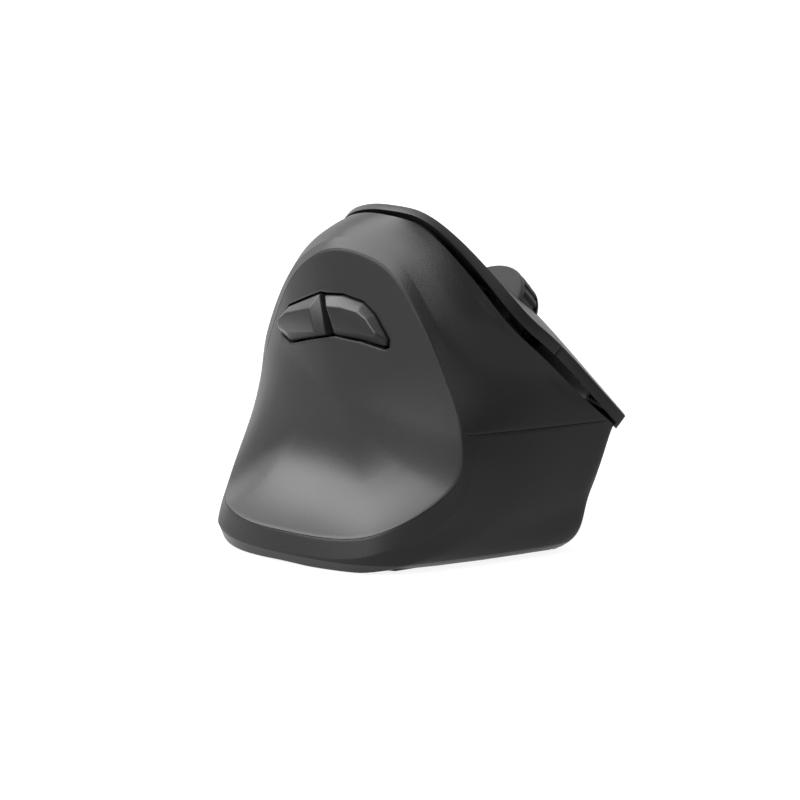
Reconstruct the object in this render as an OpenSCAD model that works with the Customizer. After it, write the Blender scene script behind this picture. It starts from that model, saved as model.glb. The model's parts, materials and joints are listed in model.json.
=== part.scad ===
/* [Body] */
// Height of the line above the desk from which the ridge and the plates are set out
ridge_z = 71.6; // [66:0.2:78]
// Slope of the finger side from level
slope = 46; // [40:1:52]
// Front face, distance ahead of the middle
front_y = 43.2; // [40:0.2:47]
// Rear end of the finger plate, distance behind the middle
rear_y = 42; // [38:0.5:46]
// Reach of the thumb rim from the middle
rim_x = 32.5; // [29:0.5:36]
// Height of the rim's upper edge at its lowest place
rim_z = 6.4; // [4.5:0.1:8]
// Depth of the thumb hollow from the middle, at its deepest
dish_x = 18.5; // [15:0.5:21]
// Thickness of the shells
wall = 1.8; // [1.4:0.1:2.4]
// Gap between neighbouring shells
seam = 0.16; // [0.1:0.02:0.3]

/* [Finger plates] */
// Thickness of the finger plates at their edges
plate_t = 2.6; // [2:0.1:3.4]
// Open slot under the front edge of the plates
slot_w = 1.9; // [1:0.1:2.6]
// Drop of the plates towards the front edge
front_drop = 8.1; // [5:0.1:10]
// Roll of the plates over the ridge, per millimetre
ridge_roll = 0.206; // [0.14:0.006:0.26]
// Fall of the palm end, per square millimetre
rear_fall = 0.010; // [0.006:0.001:0.014]
// Clearance beside the moving plates
plate_gap = 0.4; // [0.3:0.05:0.7]

/* [Buttons and wheel] */
// Seam between the finger buttons at the front edge, measured down the slope
seam_front = 27.5; // [25:0.5:31]
// Wheel centre, measured down the slope
wheel_x = 21; // [20:0.5:24]
// Wheel centre, distance ahead of the middle
wheel_y = 25.5; // [24:0.5:28]
// Wheel diameter
wheel_d = 23; // [20:0.5:25]
// Wheel width
wheel_w = 7; // [5.5:0.5:8]
// Angle through which a finger button turns when pressed
press = 0.8; // [0.6:0.05:1]
// Travel of the wheel click
click = 0.5; // [0.3:0.1:0.6]
// Travel of the small buttons
small_travel = 0.7; // [0.5:0.1:0.8]
// Radius of the steel pivot rods
rod_r = 1.0; // [0.8:0.1:1.4]
// Running clearance round rods and axles
run = 0.05; // [0.03:0.01:0.08]

/* [Inside] */
// Depth of the inner frame under the crest of the plates
frame_d = 14; // [13:0.5:15]
// Thickness of the inner frame
frame_t = 2; // [1.6:0.2:2.6]
// Diameter of the cell
cell_d = 14.5; // [14:0.1:14.6]
// Length of the cell
cell_l = 50.5; // [49:0.5:50.5]
// Thickness of the base plate
base_t_mm = 2.2; // [1.8:0.1:3]
// Thickness of the glide feet
foot_t = 0.8; // [0.5:0.1:1]
// Thickness of the circuit boards
board_t = 1.6; // [1.2:0.2:2]
// Clearance round loose inner pieces
loose = 0.3; // [0.2:0.05:0.5]

/* [Hidden] */
$fn = 32;
base_z = foot_t;
us = [cos(slope), 0, -sin(slope)];
un = [sin(slope), 0, cos(slope)];
crest_z = ridge_z - 3.2;
function deck(x, y, h) = [0, 0, crest_z] + us * x + [0, y, 0] + un * h;
function sq(a) = a > 0 ? a * a : 0;
// The plates roll over the ridge, drop to the front edge and fall again at the palm end
function roll(x) = let (a = 22.5 - x) (a + sqrt(a * a + 36)) / 2;
function plate_h(x, y) =
    let (up = max(0, 20 - x), yc = 18 - 0.48 * up)
    -sq((-yc - y) / (front_y - yc)) * (front_drop * max(0, 1 - sq(up / 28.3)) - 0.04 * max(0, x - 20))
    - ridge_roll * roll(x)
    - rear_fall * sq(y + 5);

// The plates thin out towards the ridge
function plate_b(x, y) = plate_h(x, y) - plate_t * (1 - 0.42 * min(max((12 - x) / 18, 0), 1));

function cr(a, b, c, d, t) =
    0.5 * (2 * b + (c - a) * t + (2 * a - 5 * b + 4 * c - d) * t * t + (3 * b - a - 3 * c + d) * t * t * t);
function ring(k, u) =
    let (n = len(k), i = floor(u), t = u - i)
    cr(k[(i + n - 1) % n], k[(i + n) % n], k[(i + n + 1) % n], k[(i + n + 2) % n], t);

// Outline of the finger plates on the slope, from the front end of the lip over the ridge and back
outline = [
    [48.9, -front_y], [34, -front_y], [13.5, -front_y + 0.24], [-5.5, -32.1], [-8.8, -19.5],
    [-5.4, -5.5], [3.4, 9], [17, 26.5], [35, rear_y], [49, rear_y - 4],
    [55, 18], [55.4, -10], [54.3, -32], [52, -front_y + 2.2]];
slot_k = [0.9, 1.9, 1.9, 1.6, 1.1, 0.8, 0.5, 0.4, 0.4, 0.4, 0.5, 0.7, 0.8, 0.8] * (slot_w / 1.9);
tuck_k = [0.5, 0, 0, 0, 0, 0, 0, 0, 0, 0.4, 0.5, 0.5, 0.5, 0.5];
function edge(u) =
    let (q = ring(outline, u))
    deck(q.x - ring(tuck_k, u), q.y, plate_b(q.x, q.y) - ring(slot_k, u));

// Crease round the thumb hollow
crease = [
    [-11, -front_y + 1, 27.6], [-12, -37.6, 39.5], [-13.2, -32, 49.5], [-14.8, -24, ridge_z - 13.4],
    [-16.8, -13.6, ridge_z - 10.4], [-17.3, -4.4, ridge_z - 12.2], [-15, 8, 52], [-11.8, 19.5, 38],
    [-12, 24.5, 24], [-19.5, 23, rim_z + 3.2], [-rim_x + 3.6, 9.5, rim_z + .8], [-rim_x + 1.5, -8, rim_z],
    [-25.4, -30.5, rim_z + 1.2], [-15, -front_y + 2.6, 17.4]];
// Lower edge of the rim band
band = [
    [-8, -front_y + .2, 27.4], [-9.8, -39, 39.8], [-11.6, -33.6, 50.1], [-14, -25.6, ridge_z - 11.2],
    [-16.2, -14.4, ridge_z - 8.2], [-16.3, -4.6, ridge_z - 10], [-13.6, 9.2, 54.3], [-9.8, 22.5, 40],
    [-8.6, 28.4, 23.5], [-19.9, 25.2, 4.5], [-rim_x + 2.9, 10.2, 2.9], [-rim_x + 0.8, -9, 2.5],
    [-26.6, -31.8, 3.9], [-12.3, -front_y + 1.6, 12.9]];
// How far the front, the ridge and the back swell out between the rim band and the plates
crown = [
    [0, -0.5, 0], [-0.1, -0.7, 0.1], [-0.3, -0.9, 0.4], [-0.5, -0.6, 0.9], [-0.5, -0.1, 1.2],
    [-0.4, 0.3, 1.2], [-0.3, 0.8, 1.1], [-0.3, 1.2, 0.8], [-0.2, 1.5, 0.3]];
function strip(i, k, c) = band[i] + (edge(i) - band[i]) * k + crown[i] * c;
// Edge of the flat base on the thumb side
base_t = concat([for (i = [0:8]) strip(i, 0.38, 1)], [
    [-11, 34.6, .8], [-27.7, 10, .6], [-rim_x, -9.6, .6], [-22.8, -34, .6], [1, -front_y + 1.2, 10.5]]);
// Edge of the flat base on the finger side
base_f = concat([for (i = [0:8]) strip(i, 0.72, 0.9)], [
    [6, 44, .8], [18, 20, .6], [19, -12, .6], [18.3, -35.8, .6], [17.3, -front_y + 2, 10.5]]);
// Waist of the flank under the lip
flank = concat([for (i = [0:8]) strip(i, 0.9, 0.4)], [
    [14, 43.5, 9], [23.5, 20, 10.5], [24, -12, 12], [23.8, -35.5, 10.5], [24, -front_y + 1.9, 15]]);

// Share by which the skirt between the rim band and the desk is straight and not swelling
function straight(u) = let (k = u - 14 * floor(u / 14)) min(max(min((k - 8.2) / 0.8, 13 - k), 0), 1);
function body(u, v) =
    let (b = ring(crease, u), c = ring(band, u))
    v <= 1 ? b + (c - b) * v :
    let (a = ring(base_t, u), f = ring(base_f, u),
         p = [2 * c - a, c, a, f, ring(flank, u), edge(u), 2 * edge(u) - ring(flank, u)],
         i = min(floor(v), 4), t = v - i,
         q = i == 1 ? f + (2 * a - c - f) * straight(u) : p[i + 2])
    cr(p[i - 1], p[i], p[i + 1], q, t);
function unit(a) = a / norm(a);
function body_n(u, v) =
    let (e = 0.02, w = max(v, e), z = min(w, 5 - e))
    unit(cross(body(u + e, z) - body(u - e, z), body(u, z + e) - body(u, z - e)));

hollow = [-dish_x, -9, 33];
function dish(u, r) =
    let (b = ring(crease, u), w = min(max((46 - b.z) / 42, 0), 1), p = 2 + 1.3 * w * w * (3 - 2 * w))
    hollow + [(b.x - hollow.x) * pow(r, p), (b.y - hollow.y) * r, (b.z - hollow.z) * r];
function dish_n(u, r) =
    let (e = 0.02, s = max(r, 3 * e))
    unit(cross(dish(u + e, s) - dish(u - e, s), dish(u, s - e) - dish(u, s + e)));

function flat(l) = [for (r = l) for (p = r) p];
function every() = function (r, c) true;
// Shell between an outer and an inner net of points, rows by columns; keep tells which cells are there,
// and a net that closes on itself may have its first row closed by a fan
module net(o, i, keep = every(), loop = false, tip = []) {
    nr = len(o);
    nc = len(o[0]);
    m = nr * nc;
    cols = loop ? nc : nc - 1;
    function a(r, c) = r * nc + c % nc;
    function has(r, c) = r >= 0 && r < nr - 1 && (loop || (c >= 0 && c < cols)) && keep(r, (c + cols) % cols);
    cells = [for (r = [0:nr - 2]) for (c = [0:cols - 1]) if (keep(r, c)) [r, c]];
    fan = len(tip) > 0;
    faces = concat(
        [for (q = cells) let (r = q[0], c = q[1]) each [
            [a(r, c), a(r + 1, c), a(r + 1, c + 1)], [a(r, c), a(r + 1, c + 1), a(r, c + 1)],
            [m + a(r, c), m + a(r + 1, c + 1), m + a(r + 1, c)],
            [m + a(r, c), m + a(r, c + 1), m + a(r + 1, c + 1)]]],
        [for (q = cells) let (r = q[0], c = q[1]) if (!has(r - 1, c) && !(fan && r == 0)) each [
            [a(r, c), a(r, c + 1), m + a(r, c + 1)], [a(r, c), m + a(r, c + 1), m + a(r, c)]]],
        [for (q = cells) let (r = q[0] + 1, c = q[1]) if (!has(r, c)) each [
            [a(r, c), m + a(r, c + 1), a(r, c + 1)], [a(r, c), m + a(r, c), m + a(r, c + 1)]]],
        [for (q = cells) let (r = q[0], c = q[1]) if (!has(r, c - 1)) each [
            [a(r, c), m + a(r + 1, c), a(r + 1, c)], [a(r, c), m + a(r, c), m + a(r + 1, c)]]],
        [for (q = cells) let (r = q[0], c = q[1] + 1) if (!has(r, c)) each [
            [a(r, c), a(r + 1, c), m + a(r + 1, c)], [a(r, c), m + a(r + 1, c), m + a(r, c)]]],
        fan ? [for (c = [0:cols - 1]) each [
            [a(0, c), a(0, c + 1), 2 * m], [m + a(0, c + 1), m + a(0, c), 2 * m + 1]]] : []);
    polyhedron(concat(flat(o), flat(i), tip), [for (f = faces) [f[2], f[1], f[0]]], convexity = 8);
}
function root(f, a, b, n = 32) =
    let (m = (a + b) / 2)
    n == 0 ? m : (f(m) > 0) == (f(a) > 0) ? root(f, m, b, n - 1) : root(f, a, m, n - 1);
function sort(l) =
    len(l) < 2 ? l :
    let (p = l[floor(len(l) / 2)])
    concat(sort([for (x = l) if (x < p) x]), [p], sort([for (x = l) if (x > p) x]));
function body_out(u, v) = -body_n(u, v);
function mitre(u) =
    let (a = body_out(u, 0.1), d = dish_n(u, 0.97))
    ring(crease, u) - (a + d) * wall / (1 + a * d);
vs = [0.04, 1, 1.33, 1.67, 2, 2.1, 2.5, 2.9, 3, 3.33, 3.67, 4, 4.33, 4.67, 5];
function body_in(u, v, t) =
    v < 0.5 ? mitre(u) + body(u, 1.5 * v) - ring(crease, u) : body(u, v) - body_out(u, v) * t;
function dish_in(u, r, t) =
    r > 0.95 ? mitre(u) + dish(u, r) - ring(crease, u) : dish(u, r) - dish_n(u, r) * t;
all_u = [for (j = [0:55]) j / 4];

// Middle of the whole object in plan, so that the origin is under it
rim_pts = [for (v = [0.04, 1, 2]) for (u = all_u) body(u, v)];
lip_pts = [for (j = [0:83]) let (q = ring(outline, j / 6)) deck(q.x, q.y, plate_h(q.x, q.y))];
hull_pts = [for (v = vs) for (j = [0:4:220]) body(j / 16, v)];
mid_x = (min([for (p = rim_pts) p.x]) + max([for (p = lip_pts) p.x])) / 2;
low_pts = [for (p = hull_pts) if (p.z >= base_z) p];
mid_y = (min([for (p = low_pts) p.y]) + max([for (p = low_pts) p.y])) / 2;
module placed() translate([-mid_x, -mid_y, 0]) children();
module on_deck() placed() translate([0, 0, crest_z]) rotate([0, slope, 0]) children();

module upper_housing() color("#2b2b2d") placed() {
    uu = [for (j = [0:32]) 0.01 + 7.99 * j / 32];
    net([for (v = vs) [for (u = uu) body(u, v)]], [for (v = vs) [for (u = uu) body_in(u, v, wall)]]);
}
// Opening of the lower case for the base plate, between two stations and two loops
open_u = [9.1, 11.97];
open_v = [2.1, 2.9];
low_u = concat(
    [for (j = [0:6]) 8.01 + (open_u[0] - 8.01) * j / 6],
    [for (j = [1:18]) open_u[0] + (open_u[1] - open_u[0]) * j / 18],
    [for (j = [1:12]) open_u[1] + (13.99 - open_u[1]) * j / 12]);
function low(u, v) = let (p = body(u, v)) [p.x, p.y, max(p.z, base_z)];
function low_in(u, v) =
    let (p = low(u, v), q = body_in(u, v, wall))
    v > 1.9 && v < 3.1 && p.z < base_z + 3 ? p + [0, 0, base_t_mm] : [q.x, q.y, max(q.z, base_z + base_t_mm)];
module lower_case() color("#2b2b2d") placed()
    net([for (v = vs) [for (u = low_u) low(u, v)]], [for (v = vs) [for (u = low_u) low_in(u, v)]],
        function (r, c) !(c >= 6 && c < 24 && vs[r] > open_v[0] - 0.01 && vs[r] < open_v[1] - 0.01));
base_pts = concat(
    [for (j = [6:24]) body(low_u[j], open_v[0])], [for (j = [24:-1:6]) body(low_u[j], open_v[1])]);
module base_2d() offset(delta = -seam) polygon([for (p = base_pts) [p.x, p.y]]);

// Rings of points, one on the next, closed at each end by a flat fan
module stack(rows) {
    n = len(rows[0]);
    k = len(rows);
    polyhedron(flat(rows), concat(
        [for (r = [0:k - 2]) for (c = [0:n - 1]) each [
            [r * n + c, (r + 1) * n + c, (r + 1) * n + (c + 1) % n],
            [r * n + c, (r + 1) * n + (c + 1) % n, r * n + (c + 1) % n]]],
        [for (c = [1:n - 2]) [0, c, c + 1]],
        [for (c = [1:n - 2]) [(k - 1) * n, (k - 1) * n + c + 1, (k - 1) * n + c]]), convexity = 8);
}
// Outlines of the side buttons, in the side view, with the depth of the hollow there
side_z = ridge_z - 24.2;
function lifted(l) = [for (p = l) p + [0, 0, side_z]];
back_pts = lifted([
    [-13.9, 11.2, -3.2], [-15.4, 6.8, 0.2], [-17.9, -7, 4.5], [-18.3, -9.8, -3.3], [-16.1, 5.6, -6.7],
    [-14.2, 10.8, -5.4]]);
fore_pts = lifted([
    [-18, -9.1, 4.5], [-17.6, -14.2, 4.9], [-16.7, -19.8, 4], [-16.2, -22.8, 1.9], [-15.7, -26, -2.5],
    [-15.9, -25.6, -3.9], [-17.2, -19.7, -3.3], [-18.2, -11.8, -3]]);
function yz(l) = [for (p = l) [p.y, p.z]];
function mean(l) = [for (k = [0:2]) [for (p = l) 1] * [for (p = l) p[k]] / len(l)];
// Faceted cap: straight sides, a chamfer all round and a flat top that leans with the hollow
module cap(l, lean, back) {
    m = mean(l);
    x0 = m.x - (dish_x - 18.5);
    function ring_at(x, ky, kz) =
        [for (p = l) let (y = (p.y - m.y) * ky) [x + lean * y, m.y + y, m.z + (p.z - m.z) * kz]];
    stack([ring_at(x0 - 2.2, 0.8, 0.56), ring_at(x0 - 0.7, 1, 1), [for (p = l) [back, p.y, p.z]]]);
}
side_back = -13.4;
// Window round both side buttons, as seen from the middle of the hollow: an upper and a lower chain
window_gap = 0.45;
function grown(l, g) = [for (k = [0:len(l) - 1]) let (
    n = len(l), a = l[(k + n - 1) % n], b = l[k], c = l[(k + 1) % n],
    p = (b - a) / norm(b - a), q = (c - b) / norm(c - b), e = [-p.y, p.x], f = [-q.y, q.x])
    b - (e + f) * g / (1 + e * f)];
both_pts = [
    back_pts[0], back_pts[1], back_pts[2], each fore_pts, back_pts[3], back_pts[4], back_pts[5]];
window = grown(yz(both_pts), window_gap);
function seen(p) = p - [hollow.y, hollow.z];
upper = [seen(window[13]) * 1.03, for (k = [0:7]) seen(window[k]), seen(window[8]) * 1.03];
lower = [seen(window[13]) * 0.97, for (k = [12:-1:9]) seen(window[k]), seen(window[8]) * 0.97];
function bearing(p) = let (a = atan2(p.y, p.x)) a < -90 ? a + 360 : a;
function reach(l, a, k = 0) =
    k < len(l) - 2 && a > bearing(l[k + 1]) ? reach(l, a, k + 1) :
    let (d = [cos(a), sin(a)], e = l[k + 1] - l[k], t = -cross(l[k], d) / cross(e, d))
    (l[k] + e * t) * d;
function rim_yz(u) = let (b = ring(crease, u)) seen([b.y, b.z]);
function station(a) = root(function (u) bearing(rim_yz(u)) - a, 0.1, 8);
knots = sort([for (p = concat(upper, [for (k = [1:4]) lower[k]])) station(bearing(p))]);
ends = [knots[0], knots[len(knots) - 1]];
panel_u = sort(concat(knots, [for (u = all_u) if (min([for (k = knots) abs(k - u)]) > 0.09) u]));
function in_window(u) = u > ends[0] - 0.001 && u < ends[1] + 0.001;
function low_r(u) = in_window(u) ? reach(lower, bearing(rim_yz(u))) / norm(rim_yz(u)) : 0.66;
function high_r(u) = in_window(u) ? reach(upper, bearing(rim_yz(u))) / norm(rim_yz(u)) : 0.74;
function panel_rs(u) = concat(
    [for (k = [0, 0.32, 0.58, 0.8, 1]) 0.06 + (low_r(u) - 0.06) * k],
    [for (k = [0, 0.35, 0.7, 1]) high_r(u) + (0.994 - high_r(u)) * k]);
module thumb_panel() color("#2d2d30") placed()
    net([for (k = [0:8]) [for (u = panel_u) dish(u, panel_rs(u)[k])]],
        [for (k = [0:8]) [for (u = panel_u) let (r = panel_rs(u)[k])
            in_window(u) && (k == 4 || k == 5) ? dish(u, r) + [1.15 * wall, 0, 0] : dish_in(u, r, wall)]],
        function (r, c) !(r == 4 && panel_u[c] > ends[0] - 0.001 && panel_u[c] < ends[1] - 0.001),
        true, [hollow, hollow + [wall, 0, 0]]);

side_sw = [[-17.3, side_z + 0.6], [1.2, side_z - 1]];
side_pins = [[-12.4, side_z + 1.8], [-12.4, side_z - 1.2], [-4, side_z + 0.8], [6.4, side_z - 1.8]];
pin_r = 0.9;
boss_yz = [[-13.5, side_z - 8.9], [8, side_z - 8.9]];
side_board_x = -8.8;
module side_pin(q) translate([side_back - 0.6, q.x, q.y]) rotate([0, 90, 0])
    cylinder(r = pin_r, h = side_board_x + 1.2 - side_back);
module forward_button() color("#3a3a3d") placed() {
    cap(fore_pts, -0.13, side_back);
    for (k = [0, 1]) side_pin(side_pins[k]);
}
module back_button() color("#3a3a3d") placed() {
    cap(back_pts, 0.2, side_back);
    for (k = [2, 3]) side_pin(side_pins[k]);
}
module side_board() color("#1f5a3c") placed() difference() {
    translate([side_board_x, -20.4, side_z - 11.9]) cube([board_t, 32.4, 15.3]);
    for (q = boss_yz) translate([side_board_x - 1, q.x, q.y]) rotate([0, 90, 0]) cylinder(r = 1.1, h = 5);
    for (q = side_pins) translate([side_board_x - 1, q.x, q.y]) rotate([0, 90, 0])
        cylinder(r = pin_r + run, h = 5);
}
module side_screws() color("#b9bbbd") placed() for (q = boss_yz)
    translate([side_board_x - 1.1, q.x, q.y]) rotate([0, 90, 0]) {
        cylinder(r = 1.8, h = 1.1);
        cylinder(r = 0.85, h = board_t + 4);
    }
module side_switches() color("#202022") placed() for (q = side_sw)
    translate([side_board_x, q.x, q.y]) rotate([0, -90, 0]) {
        translate([-3, -3, 0]) cube([6, 6, 3.4]);
        cylinder(r = 1.6, h = side_board_x - side_back - small_travel - 0.2);
    }

// Finger plates
hinge_y = 4.5;
index_x = [5, 15];
middle_x = [33, 48];
lug_r = 2.2;
hinge_z = plate_b(index_x[0] + 2.4, hinge_y + lug_r) - lug_r - loose;
split_y = 8;
g = plate_gap / 2;
hole_x = [wheel_x - wheel_w / 2 - 0.7, wheel_x + wheel_w / 2 + 0.7];
hole_y = [-wheel_y - wheel_d / 2 - 0.3, -wheel_y + wheel_d / 2 + 0.3];
dpi_y = hole_y[1] + 9.7;
dpi_w = 5.4;
dpi_l = 9.4;
function front_u(x) = root(function (u) ring(outline, u).x - x, 0, 3);
function ridge_u(y) = root(function (u) ring(outline, u).y - y, 3, 8);
function lip_u(y) = root(function (u) ring(outline, u).y - y, 9, 13);
// Strip of plate between the points o of the outline and the points i of its inner edge
module plate(xy, keep = every())
    net([for (r = xy) [for (q = r) [q.x, q.y, plate_h(q.x, q.y)]]],
        [for (r = xy) [for (q = r) [q.x, q.y, plate_b(q.x, q.y)]]], keep);
function between(o, i, n) = [for (k = [0:n]) [for (j = [0:len(o) - 1]) o[j] + (i[j] - o[j]) * k / n]];
index_o = let (a = front_u(seam_front - g), b = front_u(hole_x[0]), c = ridge_u(split_y - g))
    [for (j = [0:28]) ring(outline, j < 6 ? a + (b - a) * j / 6 : b + (c - b) * (j - 6) / 22)];
index_i = [for (j = [0:28]) j < 6 ? [hole_x[1] - 2 * g + (hole_x[0] - hole_x[1] + 2 * g) * j / 6, hole_y[0]] :
    [hole_x[0], hole_y[0] + (split_y - g - hole_y[0]) * (j - 6) / 22]];
middle_o = let (a = front_u(seam_front + g), b = lip_u(split_y - g) - 14)
    [for (j = [0:26]) ring(outline, a + (b - a) * j / 26)];
middle_i = [for (j = [0:26]) [hole_x[1], hole_y[0] + (split_y - g - hole_y[0]) * j / 26]];
// The palm shell runs forward between the buttons as a spine with an opening in it
palm_u = [ridge_u(split_y + g), lip_u(split_y + g)];
palm_ends = [ring(outline, palm_u[0]).x, ring(outline, palm_u[1]).x];
spine_x = [hole_x[0] + 2 * g, wheel_x - dpi_w / 2, wheel_x, wheel_x + dpi_w / 2, hole_x[1] - 2 * g];
palm_x = concat([for (j = [0:4]) palm_ends[0] + (spine_x[0] - palm_ends[0]) * j / 5], spine_x,
    [for (j = [1:11]) spine_x[4] + (palm_ends[1] - spine_x[4]) * j / 11]);
palm_o = [for (x = palm_x) let (k = (x - palm_ends[0]) / (palm_ends[1] - palm_ends[0]))
    ring(outline, palm_u[0] + (palm_u[1] - palm_u[0]) * k)];
palm_i = [for (x = palm_x) [x, split_y + g]];
spine_y = [dpi_y + dpi_l / 2, dpi_y, dpi_y - dpi_l / 2, hole_y[1] + 2 * g];
module lug(x0, x1, top) {
    translate([x0, hinge_y, hinge_z]) rotate([0, 90, 0]) cylinder(r = lug_r, h = x1 - x0);
    translate([x0, hinge_y - lug_r, hinge_z]) cube([x1 - x0, 2 * lug_r, top - hinge_z]);
}
module rod_hole(x0, x1, r) translate([x0, hinge_y, hinge_z]) rotate([0, 90, 0]) cylinder(r = r, h = x1 - x0);
micro = [[8, -15], [40, -15]];
// How far a pressed plate moves at y, and where the switch plungers end
function swept(y) = tan(press) * (hinge_y - y);
push_y = micro[0].y - 3.2;
sw_tip = plate_b(micro[0].x, push_y) - swept(push_y) - loose;
module finger_button(x) difference() {
    union() {
        children();
        lug(x[0], x[0] + 2.4, plate_h(x[0] + 1.2, hinge_y) - 1.2);
        lug(x[1] - 2.4, x[1], plate_h(x[1] - 1.2, hinge_y) - 1.2);
    }
    rod_hole(x[0] - 1, x[1] + 1, rod_r + run);
}
module index_button() color("#303033") on_deck() finger_button(index_x) plate(between(index_o, index_i, 6));
module middle_button() color("#303033") on_deck() finger_button(middle_x) {
    plate(between(middle_i, middle_o, 6));
    translate([micro[1].x, push_y, sw_tip + swept(push_y) + loose])
        cylinder(r = 1.2, h = plate_b(micro[1].x, push_y) + 0.8 - sw_tip - swept(push_y) - loose);
}
post_xy = [[24, 14], [43, 15]];
module palm_shell() color("#303033") on_deck() difference() {
    union() {
        plate(concat(between(palm_o, palm_i, 6), [for (y = spine_y) [for (x = palm_x) [x, y]]]),
            function (r, c) r < 6 || (c >= 5 && c < 9 && !(c >= 6 && c < 8 && r >= 7 && r < 9)));
        for (q = post_xy) translate([q.x, q.y, -frame_d])
            cylinder(r = 2.4, h = frame_d + plate_h(q.x, q.y) - 1.2);
    }
    for (q = post_xy) translate([q.x, q.y, -frame_d - 1]) cylinder(r = 1, h = 6.5);
}
module palm_screws() color("#b9bbbd") on_deck() for (q = post_xy) translate([q.x, q.y, -frame_d - frame_t]) {
    cylinder(r = 0.95, h = frame_t + 4.5);
    translate([0, 0, -1.3]) cylinder(r = 2, h = 1.3);
}
module pivot_rods() color("#b9bbbd") on_deck() {
    rod_hole(index_x[0], index_x[1], rod_r);
    rod_hole(middle_x[0], middle_x[1], rod_r);
}
board_z = -frame_d;
enc_h = 2.2;
wheel_z = board_z + board_t + click + 0.19 + enc_h;
arm_in = wheel_w / 2 + 0.5;
arm_out = arm_in + 2;
foot_xy = [[-4.3, -31.4], [8, 16.8], [13.2, -31]];
frame_2d = [[12.5, -38], [2.6, -30], [-3.6, -15], [-3.8, -8], [0, 3], [13.4, 20.2], [51.5, 20.2], [51.5, -38]];
// Room in the frame and the board for the wheel and its carriage
module wheel_room(z) {
    translate([wheel_x - arm_in - 0.6, -60, z]) cube([2 * arm_in + 1.2, 60 - wheel_y + wheel_d / 2 + 1, 6]);
    translate([wheel_x - arm_out - loose, -wheel_y - 5 - loose, z])
        cube([2 * (arm_out + loose), 10 + 2 * loose, 6]);
}
module under_frame() on_deck() translate([-60, -80, -100]) cube([160, 160, 100 - frame_d - frame_t / 2]);
module inner_frame() color("#18181a") difference() {
    union() {
        on_deck() difference() {
            translate([0, 0, -frame_d - frame_t]) linear_extrude(frame_t) polygon(frame_2d);
            wheel_room(-frame_d - frame_t - 2);
        }
        on_deck() for (x = [index_x, middle_x]) {
            translate([x[0] + 2.4 + loose, hinge_y - lug_r, -frame_d - 0.5])
                cube([x[1] - x[0] - 4.8 - 2 * loose, 2 * lug_r, frame_d + 0.5 + hinge_z]);
            rod_hole(x[0] + 2.4 + loose, x[1] - 2.4 - loose, lug_r);
        }
        intersection() {
            placed() {
                for (q = foot_xy) translate([q.x, q.y, base_z + base_t_mm]) cylinder(r = 1.9, h = 60);
                for (q = boss_yz) translate([side_board_x + board_t, q.x - 2.2, q.y - 2.2]) cube([3.6, 4.4, 30]);
            }
            under_frame();
        }
    }
    on_deck() for (x = [index_x, middle_x]) rod_hole(x[0] - 1, x[1] + 1, rod_r + 0.02);
    on_deck() for (q = post_xy) translate([q.x, q.y, -frame_d - frame_t - 1]) cylinder(r = 1.1, h = frame_t + 2);
    placed() for (q = foot_xy) translate([q.x, q.y, 0]) cylinder(r = 1.05, h = 14);
    placed() for (q = boss_yz) translate([side_board_x, q.x, q.y]) rotate([0, 90, 0]) cylinder(r = 0.9, h = 10);
}
module frame_screws() color("#b9bbbd") placed() for (q = foot_xy) translate([q.x, q.y, base_z + 0.2]) {
    cylinder(r = 1.8, h = 1.1);
    cylinder(r = 1, h = 10);
}

// Button board and what stands on it
module button_board() color("#1f5a3c") on_deck() difference() {
    translate([3.5, -29.5, board_z]) cube([47.5, 30.5, board_t]);
    wheel_room(board_z - 1);
}
module micro_switch(q) translate([q.x, q.y, board_z + board_t]) {
    translate([-2.9, -6.4, 0]) cube([5.8, 12.8, sw_tip - 1 - board_z - board_t]);
    translate([-1.4, -4, 0]) cube([2.8, 1.6, sw_tip - board_z - board_t]);
}
module index_switch() color("#1c1c1e") on_deck() micro_switch(micro[0]);
module middle_switch() color("#1c1c1e") on_deck() micro_switch(micro[1]);
module tact(h, top) {
    translate([-3, -3, 0]) cube([6, 6, h]);
    cylinder(r = 1.6, h = top);
}
dpi_stem = -7.2;
tongue_z = wheel_z + 1.75;
module dpi_switch() color("#202022") on_deck() translate([wheel_x, dpi_y, board_z + board_t])
    tact(3.4, dpi_stem - small_travel - 0.2 - board_z - board_t);
module wheel_switch() color("#202022") on_deck() translate([wheel_x + 13, -wheel_y, board_z + board_t])
    tact(2.8, tongue_z - click - 0.2 - board_z - board_t);
dpi_top = plate_h(wheel_x, dpi_y) + 1.2;
dpi_rim = plate_b(wheel_x - dpi_w / 2 - 0.7, dpi_y + dpi_l / 2 + 0.5) - loose;
module dpi_button() color("#3a3a3d") on_deck() translate([wheel_x, dpi_y, 0]) {
    translate([-dpi_w / 2 + 0.4, -dpi_l / 2 + 0.4, dpi_rim - 1])
        cube([dpi_w - 0.8, dpi_l - 0.8, dpi_top - dpi_rim + 1]);
    translate([-dpi_w / 2 - 0.7, -dpi_l / 2 - 0.5, dpi_rim - 1]) cube([dpi_w + 1.4, dpi_l + 1, 1]);
    translate([0, 0, dpi_stem]) cylinder(r = 1.3, h = dpi_rim - 0.5 - dpi_stem);
}
axle_r = 1.5;
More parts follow.
